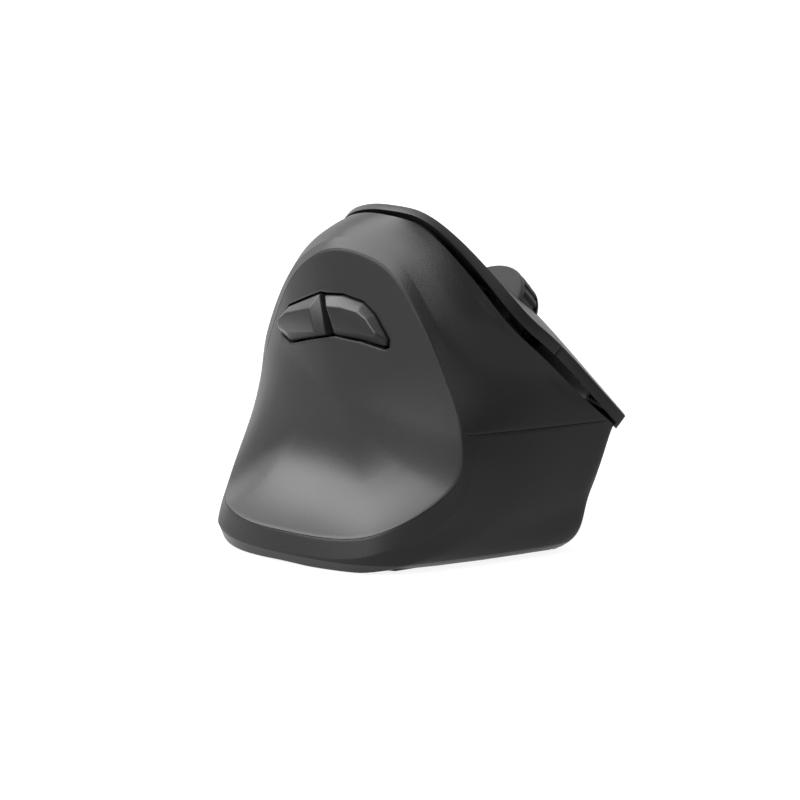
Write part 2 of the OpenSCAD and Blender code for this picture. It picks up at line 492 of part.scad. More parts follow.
// Thinner end of the axle, in the encoder
stub_r = 0.9;
module wheel_axis() on_deck() translate([wheel_x, -wheel_y, wheel_z]) rotate([0, 90, 0]) children();
hub_r = wheel_d / 2 - 3.4;
module wheel_hub() color("#49494c") wheel_axis() {
    translate([0, 0, -wheel_w / 2 + 0.4]) difference() {
        cylinder(r = hub_r, h = wheel_w - 0.8, $fn = 64);
        for (a = [0:60:300]) rotate(a) translate([hub_r * 0.58, 0, -1]) cylinder(r = 1.5, h = wheel_w + 2);
    }
    translate([0, 0, -arm_out + 0.1]) cylinder(r = axle_r, h = 2 * arm_out - 0.1);
    translate([0, 0, -arm_out - 5]) cylinder(r = stub_r, h = arm_out + 5);
}
module wheel_tyre() color("#1b1b1c") wheel_axis() difference() {
    rotate_extrude($fn = 96) polygon([
        [hub_r + 0.02, -wheel_w / 2], [wheel_d / 2 - 0.9, -wheel_w / 2], [wheel_d / 2, -wheel_w / 2 + 0.9],
        [wheel_d / 2, wheel_w / 2 - 0.9], [wheel_d / 2 - 0.9, wheel_w / 2], [hub_r + 0.02, wheel_w / 2]]);
    for (a = [0:15:345]) rotate(a) translate([wheel_d / 2 + 0.35, 0, -wheel_w])
        cylinder(r = 0.9, h = 2 * wheel_w, $fn = 16);
}
floor_z = wheel_z - wheel_d / 2 - 0.9;
module wheel_carriage() color("#222224") on_deck() difference() {
    translate([wheel_x, -wheel_y, 0]) {
        translate([-arm_out, -3.2, floor_z - 1.5]) cube([2 * arm_out, 6.4, 1.5]);
        for (k = [0, 1]) mirror([k, 0, 0]) {
            translate([arm_in, -3.2, floor_z - 0.5]) cube([2, 6.4, wheel_z - floor_z]);
            translate([arm_in, -2.4, wheel_z - 2]) cube([2, 4.8, 4.6]);
        }
        translate([arm_in + 1, -2, tongue_z]) cube([10.5, 4, 1.3]);
    }
    translate([wheel_x - 20, -wheel_y, wheel_z]) rotate([0, 90, 0]) cylinder(r = axle_r + run, h = 40);
}
module wheel_encoder() color("#2d6e52") on_deck() difference() {
    translate([wheel_x - arm_out - 6.6, -wheel_y - 4, wheel_z - enc_h]) cube([6.6, 8, enc_h + 1.5]);
    translate([wheel_x - 20, -wheel_y, wheel_z]) rotate([0, 90, 0]) cylinder(r = stub_r + run, h = 40);
}

// Base and what stands on it
cell_x = -7.5;
cell_y = -27;
cell_z = base_z + base_t_mm + 0.9 + cell_d / 2;
door_x = [cell_x - 8.5, cell_x + 8.5];
door_y = [cell_y - 1.6, cell_y + cell_l + 2];
board_top = base_z + base_t_mm + 5;
post2 = [[5.5, -24.6], [13.5, 10.6]];
sensor_xy = [10.5, -8];
power_xy = [10.5, -20.5];
power_travel = 3;
module base_plate() color("#242426") placed() difference() {
    union() {
        difference() {
            translate([0, 0, base_z]) linear_extrude(base_t_mm) base_2d();
            translate([door_x[0], door_y[0], -5]) cube([door_x[1] - door_x[0], door_y[1] - door_y[0], 20]);
        }
        for (q = post2) translate([q.x, q.y, base_z + 1]) cylinder(r = 2.2, h = board_top - base_z - 1);
        translate([cell_x - 5, door_y[0] - 1.8, base_z + 0.5]) cube([6, 1.8, 11.5]);
        translate([cell_x - 3, door_y[1], base_z + 0.5]) cube([6, 1.8, 11.5]);
    }
    for (q = post2) translate([q.x, q.y, base_z + 1]) cylinder(r = 0.9, h = 20);
    for (q = foot_xy) translate([q.x, q.y, -1]) {
        cylinder(r = 1.2, h = 20);
        cylinder(r = 2.1, h = 1 + base_z + 1.35);
    }
    translate([sensor_xy.x, sensor_xy.y, -1]) cylinder(r = 3.6, h = 10);
    translate([power_xy.x - 1.8, power_xy.y - 2.2, -1]) cube([3.6, 4.4 + power_travel, 10]);
}
// The door turns on its rounded rear edge
door_axis = [door_y[1] - loose - base_t_mm / 2, base_z + base_t_mm / 2];
door_w = door_x[1] - door_x[0] - 2 * loose;
module battery_door() color("#28282a") placed() {
    translate([door_x[0] + loose, door_y[0] + loose, base_z])
        cube([door_w, door_axis.x - door_y[0] - loose, base_t_mm]);
    translate([door_x[0] + loose, door_axis.x, door_axis.y]) rotate([0, 90, 0])
        cylinder(r = base_t_mm / 2 - 0.01, h = door_w);
    for (i = [0:3]) translate([cell_x - 5, door_y[0] + 5 + 1.6 * i, base_z - 0.25]) cube([10, 0.7, 0.6]);
    for (x = [cell_x - 6.6, cell_x + 6.6]) translate([x - 1.2, door_y[1] - 2, base_z + base_t_mm - 0.5]) {
        cube([2.4, 1.6, 1.5]);
        translate([0, 0, 0.55]) cube([2.4, 3.5, 0.95]);
    }
}
module cell() color("#8d9094") placed() translate([cell_x, cell_y, cell_z]) rotate([-90, 0, 0]) {
    cylinder(r = cell_d / 2, h = cell_l - 1.4, $fn = 64);
    cylinder(r = 2.7, h = cell_l);
}
module cell_contacts() color("#c9b26a") placed() {
    translate([cell_x - 3, door_y[0], base_z + 3]) cube([6, 0.4, 9]);
    translate([cell_x, door_y[0] + 0.2, cell_z]) rotate([-90, 0, 0])
        cylinder(r1 = 2.9, r2 = 2, h = cell_y - door_y[0] - 0.25);
    translate([cell_x - 3, door_y[1] - 0.4, base_z + 3]) cube([6, 0.4, 9]);
    translate([cell_x, door_y[1] - 0.2, cell_z]) rotate([90, 0, 0])
        cylinder(r = 2, h = door_y[1] - cell_y - cell_l - 0.25);
}
module main_board() color("#1f5a3c") placed() difference() {
    translate([2.6, -27.4, board_top]) cube([14.6, 40.8, board_t]);
    for (q = post2) translate([q.x, q.y, board_top - 1]) cylinder(r = 1.1, h = 5);
    translate([sensor_xy.x, sensor_xy.y, board_top - 1]) cylinder(r = 2.2, h = 5);
}
module board_screws() color("#b9bbbd") placed() for (q = post2) translate([q.x, q.y, board_top - 3.5]) {
    cylinder(r = 0.85, h = 3.5 + board_t + 0.2);
    translate([0, 0, 3.5 + board_t]) cylinder(r = 1.8, h = 1.1);
}
module optical_sensor() color("#1a1a1c") placed()
    translate([sensor_xy.x - 4.5, sensor_xy.y - 5, board_top + board_t]) cube([9, 10, 2.4]);
module sensor_lens() color("#c8d4dc") placed() translate([sensor_xy.x, sensor_xy.y, 0]) {
    translate([-6.5, -5.5, base_z + base_t_mm]) cube([13, 11, 1.6]);
    translate([0, 0, base_z + 0.5]) cylinder(r = 3.3, h = base_t_mm);
    translate([0, 0, base_z + base_t_mm]) cylinder(r = 4, h = 4.9);
}
module power_switch() color("#202022") placed()
    translate([power_xy.x - 2.2, power_xy.y - 3.4, board_top - 4]) cube([4.4, 9.6, 4]);
module power_slider() color("#55565a") placed() translate([power_xy.x, power_xy.y, 0]) {
    translate([-1.5, -1.9, base_z + 0.2]) cube([3, 3.8, board_top - 4 - base_z - 0.2 - 0.05]);
    translate([-1.5, -0.4, base_z + 0.05]) cube([3, 0.8, 0.3]);
}
feet_at = [[-19.4, -21.5, 2.4], [6.6, -30, 2.4], [13.2, 3, 2.2], [-2, 32.5, 3.4], [-20.5, 6, 2.8]];
module glide_feet() color("#d8d8d6") placed()
    for (q = feet_at) translate([q.x, q.y, 0]) cylinder(r = q.z, h = foot_t);

upper_housing();
lower_case();
thumb_panel();
forward_button();
back_button();
side_board();
side_screws();
side_switches();
index_button();
middle_button();
palm_shell();
palm_screws();
pivot_rods();
inner_frame();
frame_screws();
button_board();
index_switch();
middle_switch();
dpi_switch();
wheel_switch();
dpi_button();
wheel_hub();
wheel_tyre();
wheel_carriage();
wheel_encoder();
base_plate();
battery_door();
cell();
cell_contacts();
main_board();
board_screws();
optical_sensor();
sensor_lens();
power_switch();
power_slider();
glide_feet();
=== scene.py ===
# %% [markdown]
# # A vertical mouse for the left hand
# The object is a matte black mouse that stands on edge like a small saddle. The imported CAD model is
# the fixed frame: its nodes stay where they are, and this script gives each one a finish or
# a finer skin. We load it first and take the box of its battery cell, which ties the loft's coordinates to
# the model's.

# %% Load the frame
import json
import math
import bpy
import bmesh
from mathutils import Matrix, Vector


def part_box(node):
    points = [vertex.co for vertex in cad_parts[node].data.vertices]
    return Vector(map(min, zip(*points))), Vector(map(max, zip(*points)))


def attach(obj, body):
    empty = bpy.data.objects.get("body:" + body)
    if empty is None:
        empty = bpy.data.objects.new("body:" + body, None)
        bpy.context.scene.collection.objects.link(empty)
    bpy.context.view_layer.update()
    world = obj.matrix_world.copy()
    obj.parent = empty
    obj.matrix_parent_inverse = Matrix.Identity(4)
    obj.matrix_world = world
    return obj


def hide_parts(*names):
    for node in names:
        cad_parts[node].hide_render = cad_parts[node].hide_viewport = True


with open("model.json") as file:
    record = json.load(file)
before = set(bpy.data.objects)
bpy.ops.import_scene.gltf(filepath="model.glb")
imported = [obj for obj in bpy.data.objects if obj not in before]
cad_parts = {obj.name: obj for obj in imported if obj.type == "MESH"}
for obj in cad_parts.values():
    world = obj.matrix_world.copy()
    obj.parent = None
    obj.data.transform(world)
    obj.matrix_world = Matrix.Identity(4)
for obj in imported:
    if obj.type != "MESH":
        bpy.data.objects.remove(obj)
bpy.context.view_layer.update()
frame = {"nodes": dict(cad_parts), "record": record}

MM = 0.001
nodes = frame["nodes"]

# %% [markdown]
# ## The loops that the shells are lofted through
# The real housing is a freeform moulding: a crease runs round the thumb hollow, a dark band follows
# it, and from there the skin swells out to the slot under the finger plates. It could be sculpted,
# but a loft through a few closed loops stays close to the solids and keeps every seam
# exact. All lengths are in millimetres and are turned into metres at the very end.

# %% Sizes and the sloping deck
RIDGE_Z, FRONT_Y, REAR_Y = 71.6, 43.2, 42.0
RIM_X, RIM_Z, DISH_X, BASE_Z = 32.5, 6.4, 18.5, 0.8
PLATE_T, PLATE_RELIEF, PLATE_GAP = 2.6, 0.15, 0.4
FRONT_DROP, RIDGE_ROLL, REAR_FALL = 8.1, 0.206, 0.010
SLOPE = math.radians(46)
CREST_Z = RIDGE_Z - 3.2
DOWN = Vector((math.cos(SLOPE), 0, -math.sin(SLOPE)))
OUT = Vector((math.sin(SLOPE), 0, math.cos(SLOPE)))
CELL_X, CELL_Y = -7.5, -27.0
cell_low, cell_high = (Vector(c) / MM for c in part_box("cell"))
MID = Vector((CELL_X - (cell_low.x + cell_high.x) / 2, CELL_Y - cell_low.y, 0))
print("the CAD origin lies at", [round(c, 3) for c in MID])


def deck(x, y, h):
    return Vector((0, 0, CREST_Z)) + DOWN * x + Vector((0, y, 0)) + OUT * h


def square_up(a):
    return a * a if a > 0 else 0.0


def plate_top(x, y):
    up, past = max(0.0, 20 - x), 22.5 - x
    yc = 18 - 0.48 * up
    drop = FRONT_DROP * max(0.0, 1 - (up / 28.3) ** 2) - 0.04 * max(0.0, x - 20)
    roll = (past + math.sqrt(past * past + 36)) / 2
    return -drop * square_up((-yc - y) / (FRONT_Y - yc)) - RIDGE_ROLL * roll - REAR_FALL * square_up(y + 5)


def plate_under(x, y):
    return plate_top(x, y) - (PLATE_T - PLATE_RELIEF) * (1 - 0.42 * min(max((12 - x) / 18, 0), 1))


def through(a, b, c, d, t):
    return 0.5 * (2 * b + (c - a) * t + (2 * a - 5 * b + 4 * c - d) * (t * t)
                  + (3 * b - a - 3 * c + d) * (t * t * t))


def ring(keys, u):
    n, i = len(keys), math.floor(u)
    return through(keys[(i - 1) % n], keys[i % n], keys[(i + 1) % n], keys[(i + 2) % n], u - i)


# %% [markdown]
# Each loop has fourteen stations. Station 0 is at the front parting line, 4 at the top of the ridge,
# 8 at the rear parting line, and 9 to 13 run forward along the desk.

# %% The loops
outline = [Vector(p) for p in (
    (48.9, -FRONT_Y), (34, -FRONT_Y), (13.5, -FRONT_Y + .24), (-5.5, -32.1), (-8.8, -19.5), (-5.4, -5.5),
    (3.4, 9), (17, 26.5), (35, REAR_Y), (49, REAR_Y - 4), (55, 18), (55.4, -10), (54.3, -32),
    (52, -FRONT_Y + 2.2))]
slot_room = [.9, 1.9, 1.9, 1.6, 1.1, .8, .5, .4, .4, .4, .5, .7, .8, .8]
lip_tuck = [.9, 0, 0, 0, 0, 0, 0, 0, 0, .4, .5, .9, 1.25, 1.25]


def slot_edge(u):
    q = ring(outline, u)
    return deck(q.x - ring(lip_tuck, u), q.y, plate_under(q.x, q.y) - ring(slot_room, u))


crease = [Vector(p) for p in (
    (-11, -FRONT_Y + 1, 27.6), (-12.2, -37.9, 39.5), (-14.2, -33.2, 49.7), (-16.3, -25.9, RIDGE_Z - 13),
    (-18, -15.1, RIDGE_Z - 10.1), (-17.8, -5, RIDGE_Z - 12.1), (-15, 8, 52), (-11.8, 19.5, 38),
    (-12, 24.5, 24), (-19.5, 23, RIM_Z + 3.2), (-RIM_X + 3.6, 9.5, RIM_Z + .8), (-RIM_X + 1.5, -8, RIM_Z),
    (-25.4, -30.5, RIM_Z + 1.2), (-13, -FRONT_Y + 2, 16.7))]
band = [Vector(p) for p in (
    (-8, -FRONT_Y + .6, 27.4), (-9.8, -38.4, 39.8), (-12.2, -34.3, 50.3), (-14.9, -26.8, RIDGE_Z - 10.9),
    (-16.9, -15.2, RIDGE_Z - 8), (-16.6, -4.9, RIDGE_Z - 9.9), (-13.6, 9.2, 54.3), (-9.8, 22.5, 40),
    (-8.6, 28.4, 23.5), (-19.9, 25.2, 4.5), (-RIM_X + 3.3, 10.7, 2.8), (-RIM_X + 1.2, -8.5, 2.4),
    (-25.9, -30.9, 3.7), (-12.3, -FRONT_Y + 1.6, 12.9))]
crown = [Vector(p) for p in (
    (0, -.25, 0), (-.1, -1.3, .1), (-.3, -1.2, .4), (.2, .2, .2), (.25, .3, .4),
    (.1, .4, .6), (-.3, .8, 1.1), (-.3, 1.2, .8), (-.2, 1.5, .3))]


def strip(share, swell, rest):
    upper = [band[i].lerp(slot_edge(i), share) + crown[i] * swell for i in range(9)]
    return upper + [Vector(p) for p in rest]


base_thumb = strip(.38, 1, (
    (-11, 34.6, .3), (-28.6, 10.8, .3), (-RIM_X + 1.3, -9.2, .5), (-22.8, -32.6, 1),
    (1, -FRONT_Y + 1.2, 10.5)))
base_finger = strip(.72, .8, (
    (6, 44, .3), (18, 20, .3), (19, -12, .3), (18.3, -35.8, .3), (17.3, -FRONT_Y + 2, 10.5)))
flank = strip(.9, .3, (
    (14, 43.5, 9), (23.5, 20, 10.5), (24, -12, 12), (23.8, -35.5, 10.5), (24, -FRONT_Y + 1.9, 15)))


def straight(u):
    """1 along the desk, where the skirt runs straight down from the band; 0 on the upper housing."""
    k = u % 14
    return min(max(min((k - 8.2) / .8, 13 - k), 0), 1)


def housing(u, v):
    rim, low = ring(crease, u), ring(band, u)
    if v <= 1:
        return rim.lerp(low, v)
    loops = [low, ring(base_thumb, u), ring(base_finger, u), ring(flank, u), slot_edge(u)]
    loops = [2 * loops[0] - loops[1]] + loops + [2 * loops[4] - loops[3]]
    i = min(math.floor(v), 4)
    if i == 1:
        loops[3] = loops[3].lerp(2 * loops[2] - loops[1], straight(u))
    return through(*loops[i - 1:i + 3], v - i)


HOLLOW = Vector((-DISH_X, -9, 33))


def dish(u, r):
    rim = ring(crease, u)
    low = min(max((46 - rim.z) / 42, 0), 1)
    deep = r ** (2 + 1.3 * low * low * (3 - 2 * low))
    return Vector((HOLLOW.x + (rim.x - HOLLOW.x) * deep, HOLLOW.y + (rim.y - HOLLOW.y) * r,
                   HOLLOW.z + (rim.z - HOLLOW.z) * r))


print("ridge of the loft at", [round(c, 1) for c in housing(4, 4)])

# %% [markdown]
# ## Making a shell from a grid
# A moulded shell is a sheet with a wall thickness. We start from Blender's own grid, carry each of
# its points to the loft, extrude the whole sheet once for the inner wall, and round the rim
# with a small bevel. That keeps the faces even, which matters for soft highlights.

# %% Helpers for the shells
def steps(*runs):
    """Values from a to b in n steps for each run, joined end to end."""
    values = [runs[0][0]]
    for a, b, n in runs:
        values += [a + (b - a) * k / n for k in range(1, n + 1)]
    return values


def sheet_grid(cols, rows, place, keep=lambda i, j: True):
    bm = bmesh.new()
    nc, nr = len(cols) - 1, len(rows) - 1
    bmesh.ops.create_grid(bm, x_segments=nc, y_segments=nr, size=0.5)
    parting = bm.verts.layers.int.new("parting")
    cell = {}
    for vert in bm.verts:
        cell[vert] = (round((vert.co.x + .5) * nc), round((vert.co.y + .5) * nr))
        vert[parting] = cell[vert][0] in (0, nc)
    spare = [f for f in bm.faces
             if not keep(min(cell[v][0] for v in f.verts), min(cell[v][1] for v in f.verts))]
    for vert in bm.verts:
        i, j = cell[vert]
        vert.co = (place(cols[i], rows[j]) - MID) * MM
    bmesh.ops.delete(bm, geom=spare, context="FACES")
    bmesh.ops.remove_doubles(bm, verts=bm.verts[:], dist=2e-6)
    return bm


def face_away(bm, middle):
    """Turns the sheet so that most of its faces look away from a point inside."""
    bmesh.ops.recalc_face_normals(bm, faces=bm.faces[:])
    inside = (Vector(middle) - MID) * MM
    side = sum(f.calc_area() * f.normal.dot((f.calc_center_median() - inside).normalized()) for f in bm.faces)
    if side < 0:
        bmesh.ops.reverse_faces(bm, faces=bm.faces[:])
    bm.normal_update()


def thicken(bm, inner):
    """Extrudes the sheet; inner gives the place of each point of the new wall."""
    place = {tuple(v.co): inner(v) for v in bm.verts}
    new = bmesh.ops.extrude_face_region(bm, geom=bm.faces[:])["geom"]
    for vert in new:
        if isinstance(vert, bmesh.types.BMVert):
            vert.co = place[tuple(vert.co)]
    bmesh.ops.recalc_face_normals(bm, faces=bm.faces[:])


def round_edges(bm, width, angle=50, segments=2, parting_width=None):
    """Bevels the sharp edges; those along the first and last column may have a width of their own."""
    sharp = [e for e in bm.edges if e.is_manifold and e.calc_face_angle(0) > math.radians(angle)]
    parting = bm.verts.layers.int.get("parting")
    fine = [e for e in sharp if parting_width and all(v[parting] for v in e.verts)]
    for edges, offset in ((fine, parting_width), ([e for e in sharp if e not in set(fine)], width)):
        if edges:
            bmesh.ops.bevel(bm, geom=[e for e in edges if e.is_valid], offset=offset * MM,
                            offset_type="OFFSET", affect="EDGES", segments=segments, profile=0.5,
                            material=-1, clamp_overlap=True)


def finish_piece(bm, name, body, slot, *replaced, crease_angle=38):
    mesh = bpy.data.meshes.new(name)
    bm.to_mesh(mesh)
    bm.free()
    mesh.shade_smooth()
    mesh.set_sharp_from_angle(angle=math.radians(crease_angle))
    piece = bpy.data.objects.new(name, mesh)
    bpy.context.scene.collection.objects.link(piece)
    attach(piece, body)
    if replaced:
        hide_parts(*replaced)
    print(name, len(mesh.polygons), "faces")
    return piece


WALL, PARTING = 1.6, 0.004
SHELL_EDGE, SEAM_EDGE = 0.22, 0.02


def wall_inside(vert):
    return vert.co - vert.normal * (WALL * MM)


# %% [markdown]
# ## Upper housing
# The upper housing is the front face, the ridge cap and the back in one moulding. It stops at the
# crease of the hollow on one side and at the slot under the finger plates on the other.

# %% Upper housing
loft_rows = steps((0.008, 0.92, 6), (0.92, 1.08, 3), (1.08, 3, 22), (3, 4.94, 22), (4.94, 5, 1))
bm = sheet_grid(steps((PARTING, 8, 128)), loft_rows, housing)
face_away(bm, (0, 0, 35))
thicken(bm, wall_inside)
round_edges(bm, SHELL_EDGE, parting_width=SEAM_EDGE)
upper_skin = finish_piece(bm, "upper_housing_skin", "case", "shell", "upper_housing")

# %% [markdown]
# ## Lower case
# The lower case carries the rim under the thumb, the chin and the tucked flank below the fingers.
# Its floor is open where the base plate sits, so we leave those cells of the grid out. The skirt stops
# at the hem, just above the desk, and the inner wall stops on top of the base plate.

# %% Lower case
OPEN_U, OPEN_V, BASE_T, HEM_Z, WALL_LEAN = (9.1, 11.97), (2.1, 2.9), 2.2, 0.3, 0.8
OPEN_COLS, OPEN_ROWS = (18, 72), (21, 29)
low_cols = steps((8.01, OPEN_U[0], 18), (OPEN_U[0], OPEN_U[1], 54), (OPEN_U[1], 14 - PARTING, 36))
low_rows = steps((0.008, 0.92, 6), (0.92, 1.08, 3), (1.08, 2, 11), (2, OPEN_V[0], 1),
                 (OPEN_V[0], OPEN_V[1], 8), (OPEN_V[1], 5, 28))


def hem_row(u):
    """The row between band and base at which the skirt comes down to the hem."""
    low, high = 1.0, 2.0
    if housing(u, high).z >= HEM_Z:
        return high
    for _ in range(24):
        half = (low + high) / 2
        low, high = (half, high) if housing(u, half).z > HEM_Z else (low, half)
    return low


def case_point(u, v):
    p = housing(u, v)
    if 1 < v <= 2:
        p = housing(u, 1 + (v - 1) * (hem_row(u) - 1))
    inside = min(max(min(v - 2, 3 - v) / .1, 0), 1)
    return Vector((p.x, p.y, max(p.z, HEM_Z + (BASE_Z - HEM_Z) * inside)))


def case_inside(vert):
    """The inner wall, raised to the top of the base plate and drawn in so that the hem covers it."""
    p = wall_inside(vert)
    lift = max((BASE_Z + BASE_T) * MM - p.z, 0)
    inward = Vector((p.x, p.y, 0)).normalized() * lift * WALL_LEAN
    return p - inward + Vector((0, 0, lift))


def outside_floor(i, j):
    return not (OPEN_COLS[0] <= i < OPEN_COLS[1] and OPEN_ROWS[0] <= j < OPEN_ROWS[1])


bm = sheet_grid(low_cols, low_rows, case_point, outside_floor)
face_away(bm, (0, 0, 18))
thicken(bm, case_inside)
round_edges(bm, SHELL_EDGE, parting_width=SEAM_EDGE)
lower_skin = finish_piece(bm, "lower_case_skin", "case", "shell", "lower_case")

# %% [markdown]
# ## Thumb panel
# The thumb rests in a deep dish with one window for both side buttons. Seen from the middle of the
# dish, each ray meets the window twice, so a polar grid can bend its rows to the window's two
# edges and leave out the cells between them. No boolean is needed and the edge stays clean.

# %% The window round the side buttons
back_points = [Vector(p) for p in (
    (-13.9, 11.2, 44.2), (-15.4, 6.8, 47.6), (-17.9, -7, 51.9), (-18.3, -9.8, 44.1), (-16.1, 5.6, 40.7),
    (-14.2, 10.8, 42))]
fore_points = [Vector(p) for p in (
    (-18, -9.1, 51.9), (-17.6, -14.2, 52.3), (-16.7, -19.8, 51.4), (-16.2, -22.8, 49.3), (-15.7, -26, 44.9),
    (-15.9, -25.6, 43.5), (-17.2, -19.7, 44.1), (-18.2, -11.8, 44.4))]
WINDOW_GAP = 0.45


def grown(points, gap):
    n, out = len(points), []
    for k, here in enumerate(points):
        a, b = (here - points[k - 1]).normalized(), (points[(k + 1) % n] - here).normalized()
        e, f = Vector((-a.y, a.x)), Vector((-b.y, b.x))
        out.append(here - (e + f) * gap / (1 + e.dot(f)))
    return out


CENTRE = Vector((HOLLOW.y, HOLLOW.z))
window = grown([p.yz for p in back_points[:3] + fore_points + back_points[3:]], WINDOW_GAP)
seen = [p - CENTRE for p in window]
upper_chain = [seen[13] * 1.03] + seen[:8] + [seen[8] * 1.03]
lower_chain = [seen[13] * 0.97, seen[12], seen[11], seen[10], seen[9], seen[8] * 0.97]


def bearing(p):
    a = math.degrees(math.atan2(p.y, p.x))
    return a + 360 if a < -90 else a


def reach(chain, angle):
    k = 0
    while k < len(chain) - 2 and angle > bearing(chain[k + 1]):
        k += 1
    ray = Vector((math.cos(math.radians(angle)), math.sin(math.radians(angle))))
    along = chain[k + 1] - chain[k]
    t = -(chain[k].x * ray.y - chain[k].y * ray.x) / (along.x * ray.y - along.y * ray.x)
    return (chain[k] + along * t).dot(ray)


def crossing(f, a, b):
    for _ in range(40):
        m = (a + b) / 2
        a, b = (m, b) if (f(m) > 0) == (f(a) > 0) else (a, m)
    return (a + b) / 2


def rim_seen(u):
    return ring(crease, u).yz - CENTRE


knots = sorted(crossing(lambda u: bearing(rim_seen(u)) - bearing(p), 0.1, 8)
               for p in upper_chain + lower_chain[1:5])
panel_cols = sorted(knots + [k / 12 for k in range(168) if min(abs(k / 12 - q) for q in knots) > 0.03])
panel_cols.append(panel_cols[0] + 14)
print("window from station", round(knots[0], 2), "to", round(knots[-1], 2))

# %% Thumb panel
BELOW, ABOVE, DISH_END, DISH_EDGE = 16, 12, 0.9985, 0.14


def window_span(u):
    if not knots[0] - 1e-4 < u < knots[-1] + 1e-4:
        return 0.66, 0.74
    far = rim_seen(u)
    return reach(lower_chain, bearing(far)) / far.length, reach(upper_chain, bearing(far)) / far.length


def panel_point(u, row):
    low, high = window_span(u)
    share = row / BELOW if row <= BELOW else (row - BELOW - 1) / ABOVE
    return dish(u, low * share if row <= BELOW else high + (DISH_END - high) * share)


def beside_window(i, j):
    return not (j == BELOW and knots[0] - 1e-4 < panel_cols[i] < knots[-1] - 1e-4)


bm = sheet_grid(panel_cols, list(range(BELOW + ABOVE + 2)), panel_point, beside_window)
face_away(bm, (40, -9, 33))
thicken(bm, lambda v: v.co + Vector((WALL * MM, 0, 0)))
round_edges(bm, DISH_EDGE)
dish_skin = finish_piece(bm, "thumb_dish_skin", "case", "dish", "thumb_panel")

# %% [markdown]
# ## Side buttons
# The two side buttons are cut like gems: straight sides, a chamfer all round and a flat top that
# leans with the hollow. We draw the outline once as a face, extrude it to the chamfer and again to
# the smaller top, and take the sharpness off with a narrow bevel.

# %% Side buttons
SIDE_BACK = -13.4
PINS = {"forward_button": ((-12.4, 49.2), (-12.4, 46.2)), "back_button": ((-4, 48.2), (6.4, 45.6))}
PIN_R, PIN_END = 0.9, -8.2
CHAMFER_X, TOP_X, TOP_SHARE = 0.7, 2.2, (.8, .56)


def facet_button(name, points, lean):
    bm = bmesh.new()
    middle = sum(points, Vector()) / len(points)
    levels = ((SIDE_BACK, None), (middle.x - CHAMFER_X, (1, 1)), (middle.x - TOP_X, TOP_SHARE))
    rings = []
    for x, share in levels:
        loop = []
        for p in points:
            y, z = p.y - middle.y, p.z - middle.z
            if share:
                y, z = y * share[0], z * share[1]
            corner = Vector((x + (lean * y if share else 0), middle.y + y, middle.z + z))
            loop.append(bm.verts.new((corner - MID) * MM))
        rings.append([bm.edges.new((loop[k - 1], loop[k])) for k in range(len(loop))])
    for low, high in zip(rings, rings[1:]):
        bmesh.ops.bridge_loops(bm, edges=low + high)
    bmesh.ops.holes_fill(bm, edges=rings[0] + rings[-1], sides=0)
    bmesh.ops.recalc_face_normals(bm, faces=bm.faces[:])
    round_edges(bm, 0.28, angle=8, segments=3)
    for y, z in PINS[name]:
        pin = bmesh.ops.create_cone(bm, cap_ends=True, segments=24, radius1=PIN_R * MM, radius2=PIN_R * MM,
                                    depth=(PIN_END - SIDE_BACK) * MM)["verts"]
        for vert in pin:
            far = vert.co.copy()
            vert.co = (Vector(((PIN_END + SIDE_BACK) / 2, y, z)) - MID) * MM + Vector((far.z, far.x, far.y))
    bmesh.ops.recalc_face_normals(bm, faces=bm.faces[:])
    return finish_piece(bm, name + "_cap", name, "side_buttons", name, crease_angle=24)


forward_cap = facet_button("forward_button", fore_points, -0.13)
back_cap = facet_button("back_button", back_points, 0.2)

# %% [markdown]
# ## Finger plates
# Three plates cover the sloping side: the index button, the middle button and the fixed palm shell
# with a spine that runs forward between them. Each is a strip between a stretch of the common
# outline and its own inner edge. A grid laid from one edge to the other follows both, and
# extruding it down to the underside gives the visible front strip above the slot.

# %% Edges of the plates
WHEEL_X, WHEEL_Y, WHEEL_D, WHEEL_W = 21.0, 25.5, 23.0, 7.0
SEAM_FRONT, SPLIT_Y, HALF_GAP = 27.5, 8.0, PLATE_GAP / 2
HOLE_X = (WHEEL_X - WHEEL_W / 2 - .7, WHEEL_X + WHEEL_W / 2 + .7)
HOLE_Y = (-WHEEL_Y - WHEEL_D / 2 - .3, -WHEEL_Y + WHEEL_D / 2 + .3)
DPI_Y, DPI_W, DPI_L = -4.0, 5.4, 9.4


def front_station(x):
    return crossing(lambda u: ring(outline, u).x - x, 0, 3)


def ridge_station(y):
    return crossing(lambda u: ring(outline, u).y - y, 3, 8)


def lip_station(y):
    return crossing(lambda u: ring(outline, u).y - y, 9, 13)


def on_deck(q, height):
    return deck(q.x, q.y, height(q.x, q.y))


def plate_grid(cols, edges, rows=24, keep=lambda i, j: True, extra=()):
    """A plate between the two edge points of each column; extra rows run on from the inner edge."""
    def place(col, row):
        outer, inner = edges(col)
        q = outer.lerp(inner, row / rows) if row <= rows else Vector((inner.x, extra[row - rows - 1]))
        return on_deck(q, plate_top)
    bm = sheet_grid(cols, list(range(rows + 1 + len(extra))), place, keep)
    face_away(bm, deck(25, -5, -30))

    def underside(vert):
        p = vert.co / MM + MID - Vector((0, 0, CREST_Z))
        return (on_deck(Vector((p.dot(DOWN), p.y)), plate_under) - MID) * MM
    thicken(bm, underside)
    round_edges(bm, 0.32, segments=3)
    return bm


# %% [markdown]
# Under each button two lugs hang on a steel rod. They are seen only from inside the slot, but the
# button needs them to turn: a ring for the rod and a web up to the plate. Round posts reach down from
# the plates in the same way.

# %% Lugs
HINGE_Y, HINGE_Z, LUG_R, LUG_W, ROD_R = 4.5, -9.41872, 2.2, 2.4, 1.05
LUG_SIDES, ROOT = 32, 1.2
INDEX_X, MIDDLE_X = (5, 15), (33, 48)


